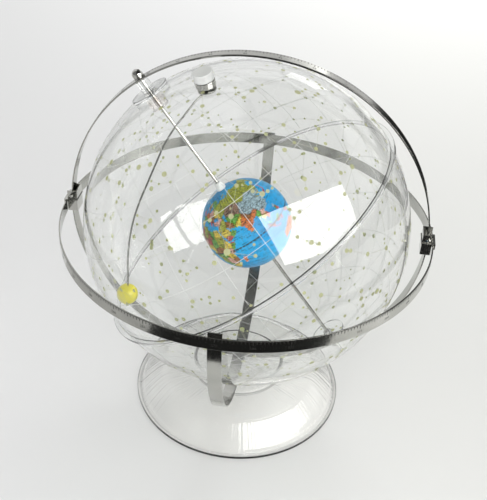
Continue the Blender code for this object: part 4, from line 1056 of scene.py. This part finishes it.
# The middle of each country, by the letter of its tint.
COUNTRIES = {
    "o": ((40, 58), (60, 60), (80, 60), (100, 62), (120, 62), (140, 62), (160, 64), (50, 53), (95, 55),
        (130, 50), (44, 33), (30, 16), (18, -12), (3, 28)),
    "m": ((60, 49), (67, 48), (75, 46), (62, 43)),
    "b": ((90, 38), (103, 35), (115, 30), (86, 43), (88, 32), (125, 45), (112, 25), (106, 28),
        (104, 46.5)),
    "c": ((78, 22), (75, 27), (78, 14), (85, 24), (91, 26), (134, -25), (122, -27), (146, -30), (47, -20),
        (10, 51), (-73, 4), (-86, 13), (-65, -17)),
    "y": ((69, 30), (45, 24), (101, 15), (127, 38), (29, 27), (40, 9), (35, -6), (24, -30), (8, 9),
        (-4, 40), (32, 49), (15, 62), (-152, 65), (-110, 40), (-90, 38), (-65, -34)),
    "g": ((66, 34), (59, 38), (57, 21), (96, 21), (102, 4), (113, 2), (145, -6), (17, 27), (47, 5),
        (23, -3), (17, -22), (18, 15), (-10, 10), (2, 47), (12, 43), (26, 64), (-102, 24), (-52, -10),
        (-45, -18), (172, -41), (80.7, 7.5)),
    "r": ((46, 15.5), (107, 14), (100, 0), (110, -7), (114, -2), (120, -2), (135, -4), (138, 36),
        (143, 43), (9, 17), (-7, 31), (-2, 53), (22, 40), (-76, -10)),
    "n": ((54, 32), (37, -15), (26, 46), (84, 28.5), (-4, 22), (14, 25), (22, 3)),
    "p": ((34, 39), (103, 19), (38, 0.5), (27, -14), (-3, 17), (20, 52), (9, 61), (-100, 58), (-75, 53),
        (-125, 60), (-65, 7), (-71, -40)),
    "w": ((-42, 72), (0, -80), (120, -80), (-120, -80)),
}
DEEP_SEA, SHALLOW_SEA = (0.004, 0.27, 0.62), (0.008, 0.46, 0.86)
EQUATOR_INK = (0.02, 0.03, 0.04)
MAP_GRID = 15                       # degrees between the map's grid lines
LINE_HEIGHT, LETTER_WIDTH = 2.4, 1.3    # of the dashes that stand for lettering, in degrees
EARTH_ACROSS, EARTH_UP = 480, 130   # facets round the axis, and from equator to pole


def inside(outline, lon, lat):
    """Which of the points lie inside the outline, by counting crossings of its sides."""
    hit = np.zeros(len(lon), bool)
    for (x0, y0), (x1, y1) in zip(outline, outline[1:] + outline[:1]):
        if y0 == y1:
            continue
        between = (y0 > lat) != (y1 > lat)
        hit ^= between & (lon < (x1 - x0) * (lat - y0) / (y1 - y0) + x0)
    return hit


def directions(lon, lat):
    """Unit vectors towards places given in degrees."""
    a, b = np.radians(lon), np.radians(lat)
    return np.stack([np.cos(b) * np.cos(a), np.cos(b) * np.sin(a), np.sin(b)], 1)


def countries(lon, lat):
    """Each point's tint by the nearest country's middle, and whether it lies on a border."""
    tints = np.array([TINTS[letter] for letter, places in COUNTRIES.items() for _ in places])
    middles = np.array([place for places in COUNTRIES.values() for place in places], float)
    closeness = directions(lon, lat) @ directions(middles[:, 0], middles[:, 1]).T
    nearest = np.argmax(closeness, 1)
    best_two = np.sort(closeness, 1)[:, -2:]
    return tints[nearest], best_two[:, 1] - best_two[:, 0] < 0.0016


def dashes(lon, lat):
    """Short dashes in rows, like small print that can't be read."""
    row = np.floor(lat / LINE_HEIGHT)
    letter = np.floor(lon * np.cos(np.radians(lat)) / LETTER_WIDTH)
    chance = np.abs(np.sin(row * 12.9898 + letter * 78.233) * 43758.5453) % 1
    return (lat / LINE_HEIGHT - row < 0.5) & (chance < 0.5) & (np.sin(0.21 * lon + 1.7 * row) > 0.1)


def map_colours(spots):
    """The map's colour at each point of the Earth's surface, given in the Earth's own frame."""
    lon = np.degrees(np.arctan2(spots[:, 1], spots[:, 0])) - math.degrees(EARTH_TURN)
    lon = (lon + 180) % 360 - 180
    lat = np.degrees(np.arcsin(np.clip(spots[:, 2] / np.linalg.norm(spots, axis=1), -1, 1)))
    ragged_lon = lon + 0.6 * np.sin(1.3 * lat + 0.7) + 0.6 * np.sin(2.6 * lat + 0.9 * lon)
    ragged_lat = lat + 0.5 * np.sin(1.2 * lon + 0.4) + 0.5 * np.sin(2.4 * lon - 0.8 * lat)
    land = ragged_lat < -69 + 4 * np.sin(np.radians(2 * lon + 40))
    for outline in LAND.values():
        land |= inside(outline, ragged_lon, ragged_lat)
    land &= ~inside(CASPIAN, ragged_lon, ragged_lat)

    depth = 0.5 + 0.5 * np.sin(np.radians(2.3 * lon + 25)) * np.cos(np.radians(3.1 * lat - 20))
    colours = np.outer(1 - depth, DEEP_SEA) + np.outer(depth, SHALLOW_SEA)
    half = MAP_GRID / 2
    on_hour_line = np.abs((lon + half) % MAP_GRID - half) * np.cos(np.radians(lat)) < 0.4
    colours[on_hour_line | (np.abs((lat + half) % MAP_GRID - half) < 0.4)] *= 0.72
    tints, border = countries(ragged_lon, ragged_lat)
    colours[land] = tints[land]
    tone = 1 + 0.22 * np.sin(0.55 * lon + 1.1 * lat) * np.sin(0.8 * lat - 0.3 * lon)
    colours[land] *= tone[land][:, None]
    colours[land & border] *= 0.5
    written = dashes(lon, lat)
    colours[written & land] *= 0.30
    colours[written & ~land] *= 0.42
    colours[(np.abs(lat) < 0.9) & (lon % 5 < 4.0)] = EQUATOR_INK
    return np.column_stack([colours, np.where(land, 1.0, 0.35)])


to_polar = np.array(POLAR.inverted())
section = shell_section(EARTH_RADIUS, EARTH_WALL, BORE, EARTH_UP, 16)
for side, place in (("north", POLAR), ("south", POLAR_SOUTH)):
    mesh = turned("earth_half_" + side, section, place, MAP_PRINT, "earth_axle", "earth_print",
                  "earth_" + side, steps=EARTH_ACROSS).data
    spots = np.zeros(len(mesh.vertices) * 3, np.float32)
    mesh.vertices.foreach_get("co", spots)
    spots = spots.reshape(-1, 3) @ to_polar[:3, :3].T + to_polar[:3, 3]
    layer = mesh.color_attributes.new("print", 'FLOAT_COLOR', 'POINT')
    layer.data.foreach_set("color", map_colours(spots).astype(np.float32).ravel())

BOSS_RADIUS, BOSS_TIP_RADIUS = 0.0046, 0.0028
BOSS_FOOT = EARTH_RADIUS + GAP
BOSS_SHOULDER = BOSS_FOOT + 0.0018
for side, place, height in (("north", POLAR, 0.0075), ("south", POLAR_SOUTH, 0.0030)):
    tip = BOSS_FOOT + height
    boss = rounded([(BOSS_TIP_RADIUS, tip), (BOSS_RADIUS, BOSS_SHOULDER), (BOSS_RADIUS, BOSS_FOOT),
                    (BORE, BOSS_FOOT), (BORE, tip)], 0.0004)
    turned("earth_neck_" + side, boss, place, WHITE, "earth_axle", "white_plastic",
           "earth_boss_" + side, steps=48)

# ---------------------------------------------------------------- camera

CAMERA_DISTANCE = 0.7933            # from the sphere's centre
CAMERA_LENS = 60.27
CAMERA_AZIMUTH, CAMERA_ELEVATION = 6.48, 33.69
CAMERA_PAN, CAMERA_TILT, CAMERA_ROLL = (math.radians(turn) for turn in (-0.12, -1.87, 3.54))


def direction(azimuth, elevation):
    """Towards an azimuth, counted in degrees from the front to the right, and an elevation."""
    a, e = math.radians(azimuth), math.radians(elevation)
    return Vector((math.sin(a) * math.cos(e), -math.cos(a) * math.cos(e), math.sin(e)))


def swung(first, second, angle):
    """Two axes at right angles, swung in their plane."""
    return (first * math.cos(angle) + second * math.sin(angle),
            second * math.cos(angle) - first * math.sin(angle))


back = direction(CAMERA_AZIMUTH, CAMERA_ELEVATION)
forward = -back
right = forward.cross(Vector((0, 0, 1))).normalized()
upward = right.cross(forward)
forward, right = swung(forward, right, CAMERA_PAN)
forward, upward = swung(forward, upward, CAMERA_TILT)
right, upward = swung(right, upward, CAMERA_ROLL)
camera = bpy.data.objects.new("camera", bpy.data.cameras.new("camera"))
bpy.context.scene.collection.objects.link(camera)
camera.data.lens = CAMERA_LENS
camera.data.sensor_width = 36.0
axes = Matrix((right, upward, -forward)).transposed().to_4x4()
camera.matrix_world = Matrix.Translation(CENTRE.translation + back * CAMERA_DISTANCE) @ axes
bpy.context.scene.camera = camera

# ---------------------------------------------------------------- studio


def panel(name, corners, material):
    item = new_item(name, corners, [tuple(range(len(corners)))])
    item.data.materials.append(material)
    return item


def glowing(name, colour, strength):
    material = bpy.data.materials.new(name)
    material.use_nodes = True
    tree = material.node_tree
    tree.nodes.clear()
    glow = tree.nodes.new('ShaderNodeEmission')
    glow.inputs["Color"].default_value = (*colour, 1.0)
    glow.inputs["Strength"].default_value = strength
    output = tree.nodes.new('ShaderNodeOutputMaterial')
    tree.links.new(glow.outputs["Emission"], output.inputs["Surface"])
    return material


FLOOR_SIDE, FLOOR_LEVEL = 5.0, -0.0002
floor_paint = Nodes("pale_floor")
floor_parts = floor_paint.add('ShaderNodeSeparateXYZ')
floor_paint.link(floor_paint.place(), floor_parts.inputs["Vector"])
# Painted light: the floor's colour grows a little lighter and warmer from left to right.
left_to_right = floor_paint.ramp(floor_parts.outputs["X"], 0.0, 1.0, -0.20, 0.20)
floor_paint.drive("Base Color", floor_paint.mix_colour(left_to_right, (0.77, 0.772, 0.772),
                                                       (0.80, 0.802, 0.78)))
floor_paint.set(Roughness=0.8, Specular_IOR_Level=0.2)
panel("floor", [(x * FLOOR_SIDE, y * FLOOR_SIDE, FLOOR_LEVEL) for x, y in
                ((-1, -1), (1, -1), (1, 1), (-1, 1))], floor_paint.material)

# The window of soft light, right of the camera: its corners as azimuth and elevation.
WINDOW_DISTANCE = 1.3
WINDOW_CORNERS = [direction(*corner) for corner in ((15, 37.5), (90, 33), (84, 8), (31, 6.5))]
facing = sum(WINDOW_CORNERS, Vector()).normalized()
window = panel("soft_window", [CENTRE.translation + corner * WINDOW_DISTANCE / corner.dot(facing)
                               for corner in WINDOW_CORNERS],
               glowing("window_light", (1.0, 0.99, 0.97), 6.5))
window.visible_camera = False
window.visible_diffuse = False

# Cards lie flat round the globe: black in front and behind on the right, grey on the left, white on
# the right. A small bright window stands far behind. Only reflections show them.
CARD_LEVEL = 0.002
CARDS = ((0.02, ((-0.24, -2.5), (-0.24, -0.29), (-0.03, -0.288), (0.365, -0.25), (2.0, -0.25),
                 (2.0, -2.5))),
         (0.02, ((0.28, 0.50), (5.0, 0.50), (5.0, 5.0), (1.9, 5.0))),
         (0.60, ((-2.0, 0.10), (-0.245, 0.10), (-0.245, -2.5), (-2.0, -2.5))),
         (1.15, ((0.365, -0.245), (2.0, -0.245), (2.0, -0.03), (0.365, -0.03))))
BACK_WINDOW = [(x, 2.5, z) for x, z in ((0.16, 0.84), (0.72, 0.84), (0.72, 1.34), (0.16, 1.34))]
BACK_BRIGHTNESS = 2.4
cards = [(brightness, [(x, y, CARD_LEVEL) for x, y in outline]) for brightness, outline in CARDS]
for brightness, outline in cards + [(BACK_BRIGHTNESS, BACK_WINDOW)]:
    card = panel("card", outline, glowing("card_paint", (1.0, 1.0, 0.98), brightness))
    card.visible_camera = False
    card.visible_diffuse = False
    card.visible_transmission = False
    card.visible_shadow = False


def soft_lamp(name, spot, target, size, power):
    """A wide lamp that lights the scene and isn't mirrored in the polished pieces."""
    lamp = bpy.data.lights.new(name, 'AREA')
    lamp.shape = 'DISK'
    lamp.size = size
    lamp.energy = power
    item = bpy.data.objects.new(name, lamp)
    bpy.context.scene.collection.objects.link(item)
    item.location = spot
    item.rotation_euler = (Vector(target) - Vector(spot)).to_track_quat('-Z', 'Y').to_euler()
    item.visible_glossy = False
    item.visible_camera = False
    item.visible_transmission = False


soft_lamp("back_lamp", (0.35, 2.0, 1.6), (0.2, 1.5, 0.0), 1.4, 27.0)
soft_lamp("front_lamp", (0.10, -0.80, 0.72), (0.0, -0.40, 0.0), 0.5, 4.2)


def studio_world():
    """Pale all round, but polished and clear surfaces show a room that is bright behind the globe
    and darker in front of it, over its right side and low on the right."""
    world = bpy.data.worlds.new("studio")
    world.use_nodes = True
    tree = world.node_tree
    pale = tree.nodes["Background"]
    pale.inputs["Color"].default_value = (0.98, 0.982, 0.975, 1.0)
    pale.inputs["Strength"].default_value = 0.635
    parts = tree.nodes.new('ShaderNodeSeparateXYZ')
    tree.links.new(tree.nodes.new('ShaderNodeTexCoord').outputs["Generated"], parts.inputs["Vector"])

    def graded(axis, low, high, start, end):
        return map_range(tree, parts.outputs[axis], low, high, start, end, 'SMOOTHSTEP')

    overhead = maths(tree, 'MAXIMUM', graded("Z", 1.0, 0.10, 0.47, 0.54),
                     graded("X", 1.0, 0.0, -0.20, -0.08))
    low_right = maths(tree, 'MAXIMUM', graded("Z", 0.03, 1.0, 0.05, 0.12),
                      graded("X", 1.0, 0.0, 0.22, 0.36))
    room = maths(tree, 'MULTIPLY', graded("Y", 0.28, 1.0, -0.15, 0.35),
                 maths(tree, 'MULTIPLY', overhead, low_right))
    mirrored = tree.nodes.new('ShaderNodeBackground')
    tree.links.new(room, mirrored.inputs["Strength"])
    path = tree.nodes.new('ShaderNodeLightPath')
    choice = tree.nodes.new('ShaderNodeMixShader')
    tree.links.new(maths(tree, 'MAXIMUM', path.outputs["Is Glossy Ray"],
                         path.outputs["Is Transmission Ray"]), choice.inputs["Fac"])
    tree.links.new(pale.outputs["Background"], choice.inputs[1])
    tree.links.new(mirrored.outputs["Background"], choice.inputs[2])
    tree.links.new(choice.outputs["Shader"], tree.nodes["World Output"].inputs["Surface"])
    bpy.context.scene.world = world


studio_world()
bpy.context.scene.view_settings.view_transform = 'Standard'
